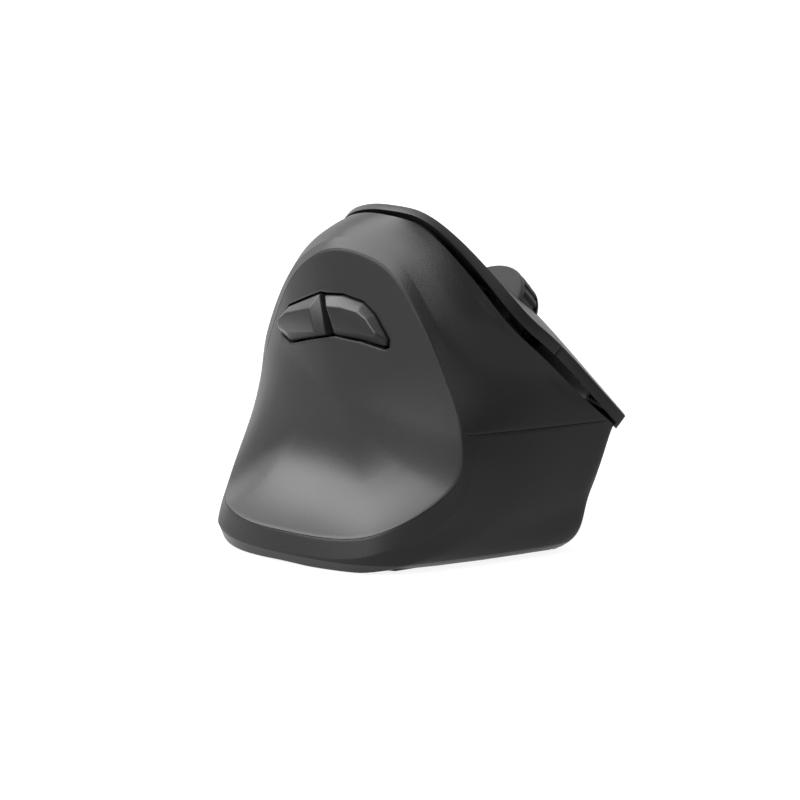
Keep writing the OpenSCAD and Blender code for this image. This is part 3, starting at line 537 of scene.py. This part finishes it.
def add_lug(bm, x):
    top = plate_top(x + LUG_W / 2, HINGE_Y) - ROOT - HINGE_Z
    loops = []
    for radius in (ROD_R, LUG_R):
        loop = []
        for k in range(LUG_SIDES):
            a = 2 * math.pi * k / LUG_SIDES
            y, z = radius * math.cos(a), radius * math.sin(a)
            if radius == LUG_R and z > 0:
                wide = max(abs(y), abs(z))
                y, z = y * LUG_R / wide, z * top / wide
            loop.append(bm.verts.new((deck(x, HINGE_Y + y, HINGE_Z + z) - MID) * MM))
        loops.append([bm.edges.new((loop[k - 1], loop[k])) for k in range(LUG_SIDES)])
    faces = bmesh.ops.bridge_loops(bm, edges=loops[0] + loops[1])["faces"]
    new = bmesh.ops.extrude_face_region(bm, geom=faces)["geom"]
    far_side = [g for g in new if isinstance(g, bmesh.types.BMVert)]
    bmesh.ops.translate(bm, verts=far_side, vec=DOWN * (LUG_W * MM))


def add_post(bm, x, y, low, radius):
    tall = plate_top(x, y) - ROOT - low
    post = bmesh.ops.create_cone(bm, cap_ends=True, segments=32, radius1=radius, radius2=radius,
                                 depth=tall)["verts"]
    for vert in post:
        p = vert.co
        vert.co = (deck(x + p.x, y + p.y, p.z + tall / 2 + low) - MID) * MM


# %% Index button
index_at = (front_station(SEAM_FRONT - HALF_GAP), front_station(HOLE_X[0]),
            ridge_station(SPLIT_Y - HALF_GAP))


def index_edges(col):
    a, b, c = index_at
    if col <= 1:
        inner = Vector((HOLE_X[1] - PLATE_GAP, HOLE_Y[0])).lerp(Vector((HOLE_X[0], HOLE_Y[0])), col)
        return ring(outline, a + (b - a) * col), inner
    inner = Vector((HOLE_X[0], HOLE_Y[0])).lerp(Vector((HOLE_X[0], SPLIT_Y - HALF_GAP)), col - 1)
    return ring(outline, b + (c - b) * (col - 1)), inner


bm = plate_grid(steps((0, 1, 14), (1, 2, 84)), index_edges)
for x in (INDEX_X[0], INDEX_X[1] - LUG_W):
    add_lug(bm, x)
bmesh.ops.recalc_face_normals(bm, faces=bm.faces[:])
index_plate = finish_piece(bm, "index_plate", "index_button", "shell", "index_button")

# %% [markdown]
# The middle button has a thin hem under its outer edge, from the front corner backwards. It hangs down
# outside the lip of the case and keeps light from showing through the gap there. A short post under the
# plate reaches down to the plunger of its switch.

# %% Middle button
middle_at = front_station(SEAM_FRONT + HALF_GAP), lip_station(SPLIT_Y - HALF_GAP) - 14


def middle_edges(col):
    a, b = middle_at
    inner = Vector((HOLE_X[1], HOLE_Y[0])).lerp(Vector((HOLE_X[1], SPLIT_Y - HALF_GAP)), col)
    return ring(outline, a + (b - a) * col), inner


HEM_IN, HEM_DEEP, HEM_T, HEM_ROOT = 0.04, 0.95, 0.5, 0.4
PUSH_X, PUSH_Y, PUSH_END, PUSH_R = 40, -18.2, -5.7, 1.2


def button_hem(station, level, inset=HEM_IN):
    q, ahead = ring(outline, station), ring(outline, station + .02) - ring(outline, station - .02)
    q += Vector((ahead.y, -ahead.x)).normalized() * inset
    return deck(q.x, q.y, plate_under(q.x, q.y) + HEM_ROOT - (HEM_DEEP + HEM_ROOT) * level)


def join(bm, other):
    mesh = bpy.data.meshes.new("joined")
    other.to_mesh(mesh)
    other.free()
    bm.from_mesh(mesh)
    bpy.data.meshes.remove(mesh)


bm = plate_grid(steps((0, 1, 96)), middle_edges)
for x in (MIDDLE_X[0], MIDDLE_X[1] - LUG_W):
    add_lug(bm, x)
add_post(bm, PUSH_X, PUSH_Y, PUSH_END, PUSH_R)
hem_cols = steps((11.6, 13.85, 30))
hem = sheet_grid(hem_cols, [0, 1], button_hem)
hem_back = {tuple((button_hem(u, k) - MID) * MM): (button_hem(u, k, HEM_IN + HEM_T) - MID) * MM
            for u in hem_cols for k in (0, 1)}
thicken(hem, lambda v: min(hem_back.items(), key=lambda pair: (Vector(pair[0]) - v.co).length)[1])
join(bm, hem)
bmesh.ops.recalc_face_normals(bm, faces=bm.faces[:])
middle_plate = finish_piece(bm, "middle_plate", "middle_button", "shell", "middle_button")

# %% [markdown]
# The palm shell is the widest plate. Its spine is a run of extra rows that only a few columns have,
# with an opening left in it for the small resolution button.

# %% Palm shell
palm_from, palm_to = ridge_station(SPLIT_Y + HALF_GAP), lip_station(SPLIT_Y + HALF_GAP)
palm_left, palm_right = ring(outline, palm_from).x, ring(outline, palm_to).x
SPINE_X = (HOLE_X[0] + PLATE_GAP, WHEEL_X - DPI_W / 2, WHEEL_X + DPI_W / 2, HOLE_X[1] - PLATE_GAP)
SPINE_Y = steps((SPLIT_Y + HALF_GAP, DPI_Y + DPI_L / 2, 6), (DPI_Y + DPI_L / 2, DPI_Y - DPI_L / 2, 8),
                (DPI_Y - DPI_L / 2, HOLE_Y[1] + PLATE_GAP, 5))[1:]
palm_cols = steps((palm_left, SPINE_X[0], 20), (SPINE_X[0], SPINE_X[1], 2), (SPINE_X[1], SPINE_X[2], 6),
                  (SPINE_X[2], SPINE_X[3], 2), (SPINE_X[3], palm_right, 44))
PALM_ROWS, SPINE_COLS, OPENING_COLS, OPENING_ROWS = 32, (20, 30), (22, 28), (6, 14)
PALM_POSTS, PALM_POST_R, FRAME_D = ((24, 14), (43, 15)), 2.4, 14.0


def palm_edges(x):
    share = (x - palm_left) / (palm_right - palm_left)
    return ring(outline, palm_from + (palm_to - palm_from) * share), Vector((x, SPLIT_Y + HALF_GAP))


def palm_cell(i, j):
    on_spine = SPINE_COLS[0] <= i < SPINE_COLS[1]
    in_opening = (OPENING_COLS[0] <= i < OPENING_COLS[1]
                  and OPENING_ROWS[0] <= j - PALM_ROWS < OPENING_ROWS[1])
    return j < PALM_ROWS or (on_spine and not in_opening)


bm = plate_grid(palm_cols, palm_edges, PALM_ROWS, palm_cell, SPINE_Y)
for x, y in PALM_POSTS:
    add_post(bm, x, y, -FRAME_D, PALM_POST_R)
bmesh.ops.recalc_face_normals(bm, faces=bm.faces[:])
palm_plate = finish_piece(bm, "palm_plate", "case", "shell", "palm_shell")

# %% [markdown]
# ## Scroll wheel
# The wheel has a smooth moulded hub with a rounded flange on each side and a rubber tread between
# them, grooved across so that the finger can feel it. Both are turned parts, so we draw half a
# section and spin it about the axle; the grooves are pressed into the spun tread.

# %% Hub of the wheel
WHEEL_Z, AXLE_R, STUB_R, FLANGE = -9.51, 1.5, 0.9, 1.0
ARM_OUT = WHEEL_W / 2 + 2.5
axle = (deck(WHEEL_X, -WHEEL_Y, WHEEL_Z) - MID) * MM


def turned(section, turns=144):
    """Spins a section of (radius, place along the axle) points about the axle."""
    bm = bmesh.new()
    line = [bm.verts.new(axle + (OUT * r + DOWN * x) * MM) for r, x in section]
    edges = [bm.edges.new(pair) for pair in zip(line, line[1:])]
    bmesh.ops.spin(bm, geom=line + edges, cent=axle, axis=DOWN, angle=2 * math.pi, steps=turns,
                   use_merge=True)
    bmesh.ops.remove_doubles(bm, verts=bm.verts[:], dist=2e-6)
    bmesh.ops.recalc_face_normals(bm, faces=bm.faces[:])
    return bm


def shoulder(side, r_low, r_top, width, n=8):
    """A flange side with a rounded shoulder, from its foot to the tread."""
    x_out, x_in = side * WHEEL_W / 2, side * (WHEEL_W / 2 - width)
    arc = [math.pi / 2 * k / n for k in range(n + 1)]
    return [(r_low, x_out)] + [(r_top - width + width * math.sin(a), x_in + (x_out - x_in) * math.cos(a))
                               for a in arc]


FLANGE_R, BOSS_R, DISC_IN, STUB_L = WHEEL_D / 2 - 0.05, 4.0, 1.4, 5
left = shoulder(-1, 4.5, FLANGE_R, FLANGE)
right = [(r, -x) for r, x in left]
section = ([(0, -ARM_OUT - STUB_L), (STUB_R, -ARM_OUT - STUB_L), (STUB_R, -ARM_OUT + .1),
            (AXLE_R, -ARM_OUT + .1), (AXLE_R, -WHEEL_W / 2 + DISC_IN), (BOSS_R, -WHEEL_W / 2 + DISC_IN)]
           + left + [(FLANGE_R - 2.4, -WHEEL_W / 2 + FLANGE), (FLANGE_R - 2.4, WHEEL_W / 2 - FLANGE)]
           + right[::-1] + [(BOSS_R, WHEEL_W / 2 - DISC_IN), (AXLE_R, WHEEL_W / 2 - DISC_IN),
                            (AXLE_R, ARM_OUT), (0, ARM_OUT)])
hub_skin = finish_piece(turned(section), "wheel_hub_skin", "wheel", "wheel_hub", "wheel_hub", crease_angle=50)

# %% Tread of the wheel
GROOVES, GROOVE_DEPTH = 24, 0.55
half = WHEEL_W / 2 - FLANGE - 0.06
tread_r = WHEEL_D / 2
cross = steps((-half, -half + .5, 2), (-half + .5, half - .5, 6), (half - .5, half, 2))
section = ([(tread_r - 2.3, -half)] + [(tread_r - .3 * (abs(x) / half) ** 6, x) for x in cross]
           + [(tread_r - 2.3, half)])
bm = turned(section + section[:1], 16 * GROOVES)
for vert in bm.verts:
    arm = vert.co - axle
    arm -= DOWN * arm.dot(DOWN)
    if arm.length > (tread_r - 1) * MM:
        turn = math.atan2(arm.y, arm.dot(OUT)) / (2 * math.pi) * GROOVES % 1
        dip = max(0.0, 1 - (abs(turn - round(turn)) / .28) ** 4)
        vert.co -= arm.normalized() * (GROOVE_DEPTH * dip * MM)
tread_skin = finish_piece(bm, "wheel_tread", "wheel", "wheel_tyre", "wheel_tyre", crease_angle=50)

# %% [markdown]
# ## Resolution button
# Behind the wheel a small button steps the pointer speed. It is a rounded bar with a rim below that
# keeps it from falling out of the spine.

# %% Resolution button
DPI_TOP = plate_top(WHEEL_X, DPI_Y) + 1.2
DPI_RIM = plate_under(WHEEL_X - DPI_W / 2 - .7, DPI_Y + DPI_L / 2 + .5) - 0.3
DPI_STEM, DPI_STEM_R = -7.2, 1.3


def deck_block(bm, wide, long, low, high, bevel):
    start = set(bm.verts)
    bmesh.ops.create_cube(bm, size=1)
    new = [v for v in bm.verts if v not in start]
    for vert in new:
        p = vert.co
        vert.co = (deck(WHEEL_X + p.x * wide, DPI_Y + p.y * long, low + (p.z + .5) * (high - low)) - MID) * MM
    edges = {e for v in new for e in v.link_edges}
    if bevel:
        bmesh.ops.bevel(bm, geom=list(edges), offset=bevel * MM, offset_type="OFFSET", affect="EDGES",
                        segments=4, profile=0.5, material=-1, clamp_overlap=True)


bm = bmesh.new()
deck_block(bm, DPI_W - .8, DPI_L - .8, DPI_RIM - .5, DPI_TOP, 0.7)
deck_block(bm, DPI_W + 1.4, DPI_L + 1, DPI_RIM - 1, DPI_RIM, 0)
tall = DPI_RIM - 0.5 - DPI_STEM
stem = bmesh.ops.create_cone(bm, cap_ends=True, segments=24, radius1=DPI_STEM_R, radius2=DPI_STEM_R,
                             depth=tall)["verts"]
for vert in stem:
    p = vert.co
    vert.co = (deck(WHEEL_X + p.x, DPI_Y + p.y, DPI_STEM + p.z + tall / 2) - MID) * MM
bmesh.ops.recalc_face_normals(bm, faces=bm.faces[:])
dpi_cap = finish_piece(bm, "resolution_cap", "dpi_button", "side_buttons", "dpi_button")

# %% [markdown]
# ## Moulded plastic
# Every outer piece is injection-moulded plastic with a fine spark-eroded grain. Under soft light the
# grain shows only as a broken-up gloss, so it belongs in roughness and bump and not in the
# mesh. One node group makes the grain and a faint cloudiness; each material sets their size.

# %% The grain group
def add_node(tree, kind, **inputs):
    node = tree.nodes.new(kind)
    for key, value in inputs.items():
        node.inputs[key.replace("_", " ")].default_value = value
    return node


grain = bpy.data.node_groups.new("moulded_grain", "ShaderNodeTree")
for name, low, start in (("Grain scale", 1, 2600), ("Cloud scale", 1, 45)):
    socket = grain.interface.new_socket(name, in_out="INPUT", socket_type="NodeSocketFloat")
    socket.default_value, socket.min_value = start, low
for name in ("Grain", "Cloud"):
    grain.interface.new_socket(name, in_out="OUTPUT", socket_type="NodeSocketFloat")
ends = grain.nodes.new("NodeGroupInput"), grain.nodes.new("NodeGroupOutput")
place = grain.nodes.new("ShaderNodeTexCoord")
for name, detail in (("Grain", 2.0), ("Cloud", 3.0)):
    noise = add_node(grain, "ShaderNodeTexNoise", Detail=detail, Roughness=0.55)
    grain.links.new(place.outputs["Object"], noise.inputs["Vector"])
    grain.links.new(ends[0].outputs[name + " scale"], noise.inputs["Scale"])
    grain.links.new(noise.outputs["Fac"], ends[1].inputs[name])
print("grain group with", len(grain.nodes), "nodes")


# %% [markdown]
# A material mixes two close tones by the cloudiness, lets the grain move the roughness and raises a
# very low bump. The numbers that are the same all over sit on the shader itself.

# %% Materials from the grain
def grained(name, dark, light, rough, depth, grain_scale=2600, cloud_scale=45, metal=0.0, specular=0.5):
    material = bpy.data.materials.new(name)
    material.use_nodes = True
    tree = material.node_tree
    shader = tree.nodes["Principled BSDF"]
    shader.inputs["Metallic"].default_value = metal
    shader.inputs["Specular IOR Level"].default_value = specular
    group = tree.nodes.new("ShaderNodeGroup")
    group.node_tree = grain
    group.inputs["Grain scale"].default_value = grain_scale
    group.inputs["Cloud scale"].default_value = cloud_scale
    tone = tree.nodes.new("ShaderNodeMix")
    tone.data_type = "RGBA"
    tone.inputs["A"].default_value, tone.inputs["B"].default_value = (*dark, 1), (*light, 1)
    tree.links.new(group.outputs["Cloud"], tone.inputs["Factor"])
    tree.links.new(tone.outputs["Result"], shader.inputs["Base Color"])
    gloss = tree.nodes.new("ShaderNodeMapRange")
    gloss.inputs["To Min"].default_value, gloss.inputs["To Max"].default_value = rough
    tree.links.new(group.outputs["Grain"], gloss.inputs["Value"])
    tree.links.new(gloss.outputs["Result"], shader.inputs["Roughness"])
    bump = add_node(tree, "ShaderNodeBump", Strength=depth, Distance=0.0002)
    tree.links.new(group.outputs["Grain"], bump.inputs["Height"])
    tree.links.new(bump.outputs["Normal"], shader.inputs["Normal"])
    return material


def grey(value, tint=0.0):
    return value, value, value * (1 + tint)


finishes = {
    "shell": grained("matte_black_shell", grey(.017, .03), grey(.023, .03), (.34, .46), .14, specular=.44),
    "dish": grained("matte_black_dish", grey(.018, .03), grey(.024, .03), (.33, .44), .10, specular=.54),
    "side_buttons": grained("satin_button", grey(.024, .03), grey(.031, .03), (.28, .38), .06, specular=.45),
    "inner_plastic": grained("inner_plastic", grey(.012), grey(.018), (.50, .62), .12),
    "boards": grained("circuit_board", (.006, .045, .022), (.010, .070, .034), (.30, .42), .10, 1800, 220),
    "steel": grained("zinc_plate", grey(.50), grey(.60), (.28, .40), .05, 1500, 300, metal=1.0),
    "wheel_hub": grained("wheel_sidewall", grey(.020, .03), grey(.027, .03), (.34, .44), .05, specular=.28),
    "wheel_tyre": grained("wheel_rubber", grey(.010), grey(.015), (.50, .64), .22, 2000),
    "cell": grained("cell_sleeve", grey(.22, .06), grey(.27, .06), (.30, .40), .03, 900, 60),
    "contacts": grained("contact_strip", (.55, .43, .20), (.66, .53, .27), (.25, .36), .04, 1500, 260,
                        metal=1.0),
    "feet": grained("glide_foot", grey(.42), grey(.47), (.30, .40), .06, 1500),
    "slider": grained("power_slider", grey(.09), grey(.11), (.40, .50), .12),
    "base": grained("matte_black_base", grey(.018), grey(.024), (.44, .58), .22),
}

# %% [markdown]
# The sensor lens is the only clear piece. Glass keeps a plain transmission, and only its roughness
# is broken up a little.

# %% Lens and the finish of every piece
lens = bpy.data.materials.new("clear_lens")
lens.use_nodes = True
lens_shader = lens.node_tree.nodes["Principled BSDF"]
lens_shader.inputs["Base Color"].default_value = (.86, .91, .94, 1)
lens_shader.inputs["Transmission Weight"].default_value = 0.9
lens_grain = lens.node_tree.nodes.new("ShaderNodeGroup")
lens_grain.node_tree = grain
lens_gloss = lens.node_tree.nodes.new("ShaderNodeMapRange")
lens_gloss.inputs["To Min"].default_value, lens_gloss.inputs["To Max"].default_value = 0.05, 0.16
lens.node_tree.links.new(lens_grain.outputs["Cloud"], lens_gloss.inputs["Value"])
lens.node_tree.links.new(lens_gloss.outputs["Result"], lens_shader.inputs["Roughness"])
finishes["lens"] = lens

slot_of = {part["node"]: part["material_slot"] for part in frame["record"]["subparts"]}
for name, node in nodes.items():
    if not node.material_slots:
        node.data.materials.append(None)
    for place in node.material_slots:
        place.material = finishes[slot_of[name]]
for piece, slot in ((upper_skin, "shell"), (lower_skin, "shell"), (dish_skin, "dish"), (index_plate, "shell"),
                    (middle_plate, "shell"), (palm_plate, "shell"), (forward_cap, "side_buttons"),
                    (back_cap, "side_buttons"), (hub_skin, "wheel_hub"), (tread_skin, "wheel_tyre"),
                    (dpi_cap, "side_buttons")):
    piece.data.materials.append(finishes[slot])
print(len(finishes), "finishes on", len(slot_of), "nodes")

# %% [markdown]
# ## Studio
# The picture has a white ground and hardly any shadow. A white world and floor are shown to the camera
# and to reflections only; the object itself is lit by the lamps, a dim sky and what the grey of the paper
# throws back. The paper is seen from above only, which leaves the underside open to view.

# %% Floor and sky
def camera_rays(tree):
    """A value of 1 for rays that show the ground directly, in a reflection or through glass."""
    path = tree.nodes.new("ShaderNodeLightPath")
    total = path.outputs["Is Camera Ray"]
    for name in ("Is Glossy Ray", "Is Transmission Ray"):
        either = tree.nodes.new("ShaderNodeMath")
        either.operation = "MAXIMUM"
        tree.links.new(total, either.inputs[0])
        tree.links.new(path.outputs[name], either.inputs[1])
        total = either.outputs[0]
    return total


bm = bmesh.new()
bmesh.ops.create_grid(bm, x_segments=1, y_segments=1, size=3.0)
floor_mesh = bpy.data.meshes.new("floor")
bm.to_mesh(floor_mesh)
bm.free()
floor = bpy.data.objects.new("floor", floor_mesh)
bpy.context.scene.collection.objects.link(floor)
paper = bpy.data.materials.new("white_paper")
paper.use_nodes = True
tree = paper.node_tree
shader = tree.nodes["Principled BSDF"]
shader.inputs["Base Color"].default_value = (.30, .30, .30, 1)
shader.inputs["Roughness"].default_value = 0.9
shader.inputs["Specular IOR Level"].default_value = 0.1
shader.inputs["Emission Color"].default_value = (1, 1, 1, 1)
place = tree.nodes.new("ShaderNodeTexCoord")
away = tree.nodes.new("ShaderNodeVectorMath")
away.operation = "LENGTH"
tree.links.new(place.outputs["Object"], away.inputs[0])
glow = tree.nodes.new("ShaderNodeMapRange")
for key, value in (("From Min", .15), ("From Max", .6), ("To Min", .88), ("To Max", 1)):
    glow.inputs[key].default_value = value
tree.links.new(away.outputs["Value"], glow.inputs["Value"])
shine = tree.nodes.new("ShaderNodeMath")
shine.operation = "MULTIPLY"
tree.links.new(glow.outputs["Result"], shine.inputs[1])
tree.links.new(camera_rays(tree), shine.inputs[0])
tree.links.new(shine.outputs[0], shader.inputs["Emission Strength"])
see_through = tree.nodes.new("ShaderNodeBsdfTransparent")
one_sided = tree.nodes.new("ShaderNodeMixShader")
tree.links.new(tree.nodes.new("ShaderNodeNewGeometry").outputs["Backfacing"], one_sided.inputs["Fac"])
tree.links.new(shader.outputs["BSDF"], one_sided.inputs[1])
tree.links.new(see_through.outputs["BSDF"], one_sided.inputs[2])
tree.links.new(one_sided.outputs["Shader"], tree.nodes["Material Output"].inputs["Surface"])
floor_mesh.materials.append(paper)

world = bpy.data.worlds.new("studio")
bpy.context.scene.world = world
world.use_nodes = True
tree = world.node_tree
sky = tree.nodes["Background"]
sky.inputs["Color"].default_value = (1, 1, 1, 1)
dim = tree.nodes.new("ShaderNodeMapRange")
dim.inputs["To Min"].default_value, dim.inputs["To Max"].default_value = 0.10, 1.0
tree.links.new(camera_rays(tree), dim.inputs["Value"])
tree.links.new(dim.outputs["Result"], sky.inputs["Strength"])

# %% [markdown]
# One wide soft lamp stands at the rear left, high enough to shine into the bottom of the thumb hollow
# and over the ridge but not onto the steep wall between them. A small lamp overhead lifts the finger
# side. Dark cards, which the camera doesn't see and which cast no shadow, keep the white ground out of
# the reflections in the steep faces, as a photographer's cards do. The apron and front cards are grey.

# %% Lamps
def soft_lamp(name, place, target, wide, tall, power):
    lamp = bpy.data.lights.new(name, "AREA")
    lamp.shape, lamp.size, lamp.size_y, lamp.energy = "RECTANGLE", wide, tall, power
    holder = bpy.data.objects.new(name, lamp)
    bpy.context.scene.collection.objects.link(holder)
    holder.location = place
    holder.rotation_euler = (Vector(target) - Vector(place)).to_track_quat("-Z", "Y").to_euler()


LIT = (0, 0, .03)
soft_lamp("side_lamp", (-.82, .40, .68), LIT, 2.1, .8, 24.0)
soft_lamp("top_lamp", (.1, .3, 1.1), LIT, .8, .8, 4.0)

# %% Cards
CARDS = {
    "left_card": (0, (-1.3, -.2, .002), (-.12, .12, .002), (-1.3, 1.4, .002), (.3, 1.4, .002)),
    "low_card": (0, (-1.35, -.45, .002), (.1, 1.3, .002), (-1.35, -.45, .10), (.1, 1.3, .25)),
    "apron_card": (.46, (-.40, .20, .002), (.40, -.05, .002), (-1.3, -.5, .002), (.3, -1.5, .002)),
    "front_card": (.04, (-.15, -.75, .002), (.55, -.05, .002), (.35, -1.25, .6), (1.05, -.55, .6)),
    "near_card": (0, (-.54, -.26, .03), (-.10, -.60, .03), (-.54, -.26, .55), (-.10, -.60, .55)),
}
for name, (glow_level, *corners) in CARDS.items():
    felt = bpy.data.materials.new(name + "_felt")
    felt.use_nodes = True
    felt_shader = felt.node_tree.nodes["Principled BSDF"]
    felt_shader.inputs["Base Color"].default_value = (.03, .03, .03, 1)
    felt_shader.inputs["Roughness"].default_value = 0.9
    felt_shader.inputs["Emission Color"].default_value = (1, 1, 1, 1)
    felt_shader.inputs["Emission Strength"].default_value = glow_level
    bm = bmesh.new()
    bmesh.ops.create_grid(bm, x_segments=1, y_segments=1, size=1)
    for vert in bm.verts:
        vert.co = corners[(vert.co.x > 0) + 2 * (vert.co.y > 0)]
    card_mesh = bpy.data.meshes.new(name)
    bm.to_mesh(card_mesh)
    bm.free()
    card_mesh.materials.append(felt)
    card = bpy.data.objects.new(name, card_mesh)
    bpy.context.scene.collection.objects.link(card)
    card.visible_camera = card.visible_shadow = False
print(len(CARDS), "cards and 2 lamps")

# %% [markdown]
# ## Camera
# The mouse is seen from the front left with a long lens, a little above the desk. The angle, distance
# and aim come from fitting the loft's outline to the outline in the picture.

# %% Camera
FROM_FRONT, ABOVE_DESK = math.radians(38.1), math.radians(9.61)
DISTANCE, FOCAL_PX, IMAGE_PX = 714.6, 3503.0, 800
AIM = Vector((3.316, 1.064, 30)) - MID
AIM_PX = (381.5, 386.4)
PX_PER_MM = 4.902
toward = Vector((-math.sin(FROM_FRONT) * math.cos(ABOVE_DESK), -math.cos(FROM_FRONT) * math.cos(ABOVE_DESK),
                 math.sin(ABOVE_DESK)))
right = Vector((math.cos(FROM_FRONT), -math.sin(FROM_FRONT), 0))
upward = toward.cross(right)
shift = [(IMAGE_PX / 2 - px) / PX_PER_MM for px in AIM_PX]
centre = AIM + right * shift[0] - upward * shift[1]
lens_data = bpy.data.cameras.new("camera")
lens_data.sensor_width = 36
lens_data.lens = FOCAL_PX * lens_data.sensor_width / IMAGE_PX
lens_data.clip_start, lens_data.clip_end = 0.01, 20
camera = bpy.data.objects.new("camera", lens_data)
bpy.context.scene.collection.objects.link(camera)
camera.location = (AIM + toward * DISTANCE) * MM
camera.rotation_euler = (centre * MM - camera.location).to_track_quat("-Z", "Y").to_euler()
bpy.context.scene.camera = camera
bpy.context.scene.view_settings.view_transform = "Standard"
print("camera at", [round(c, 3) for c in camera.location])
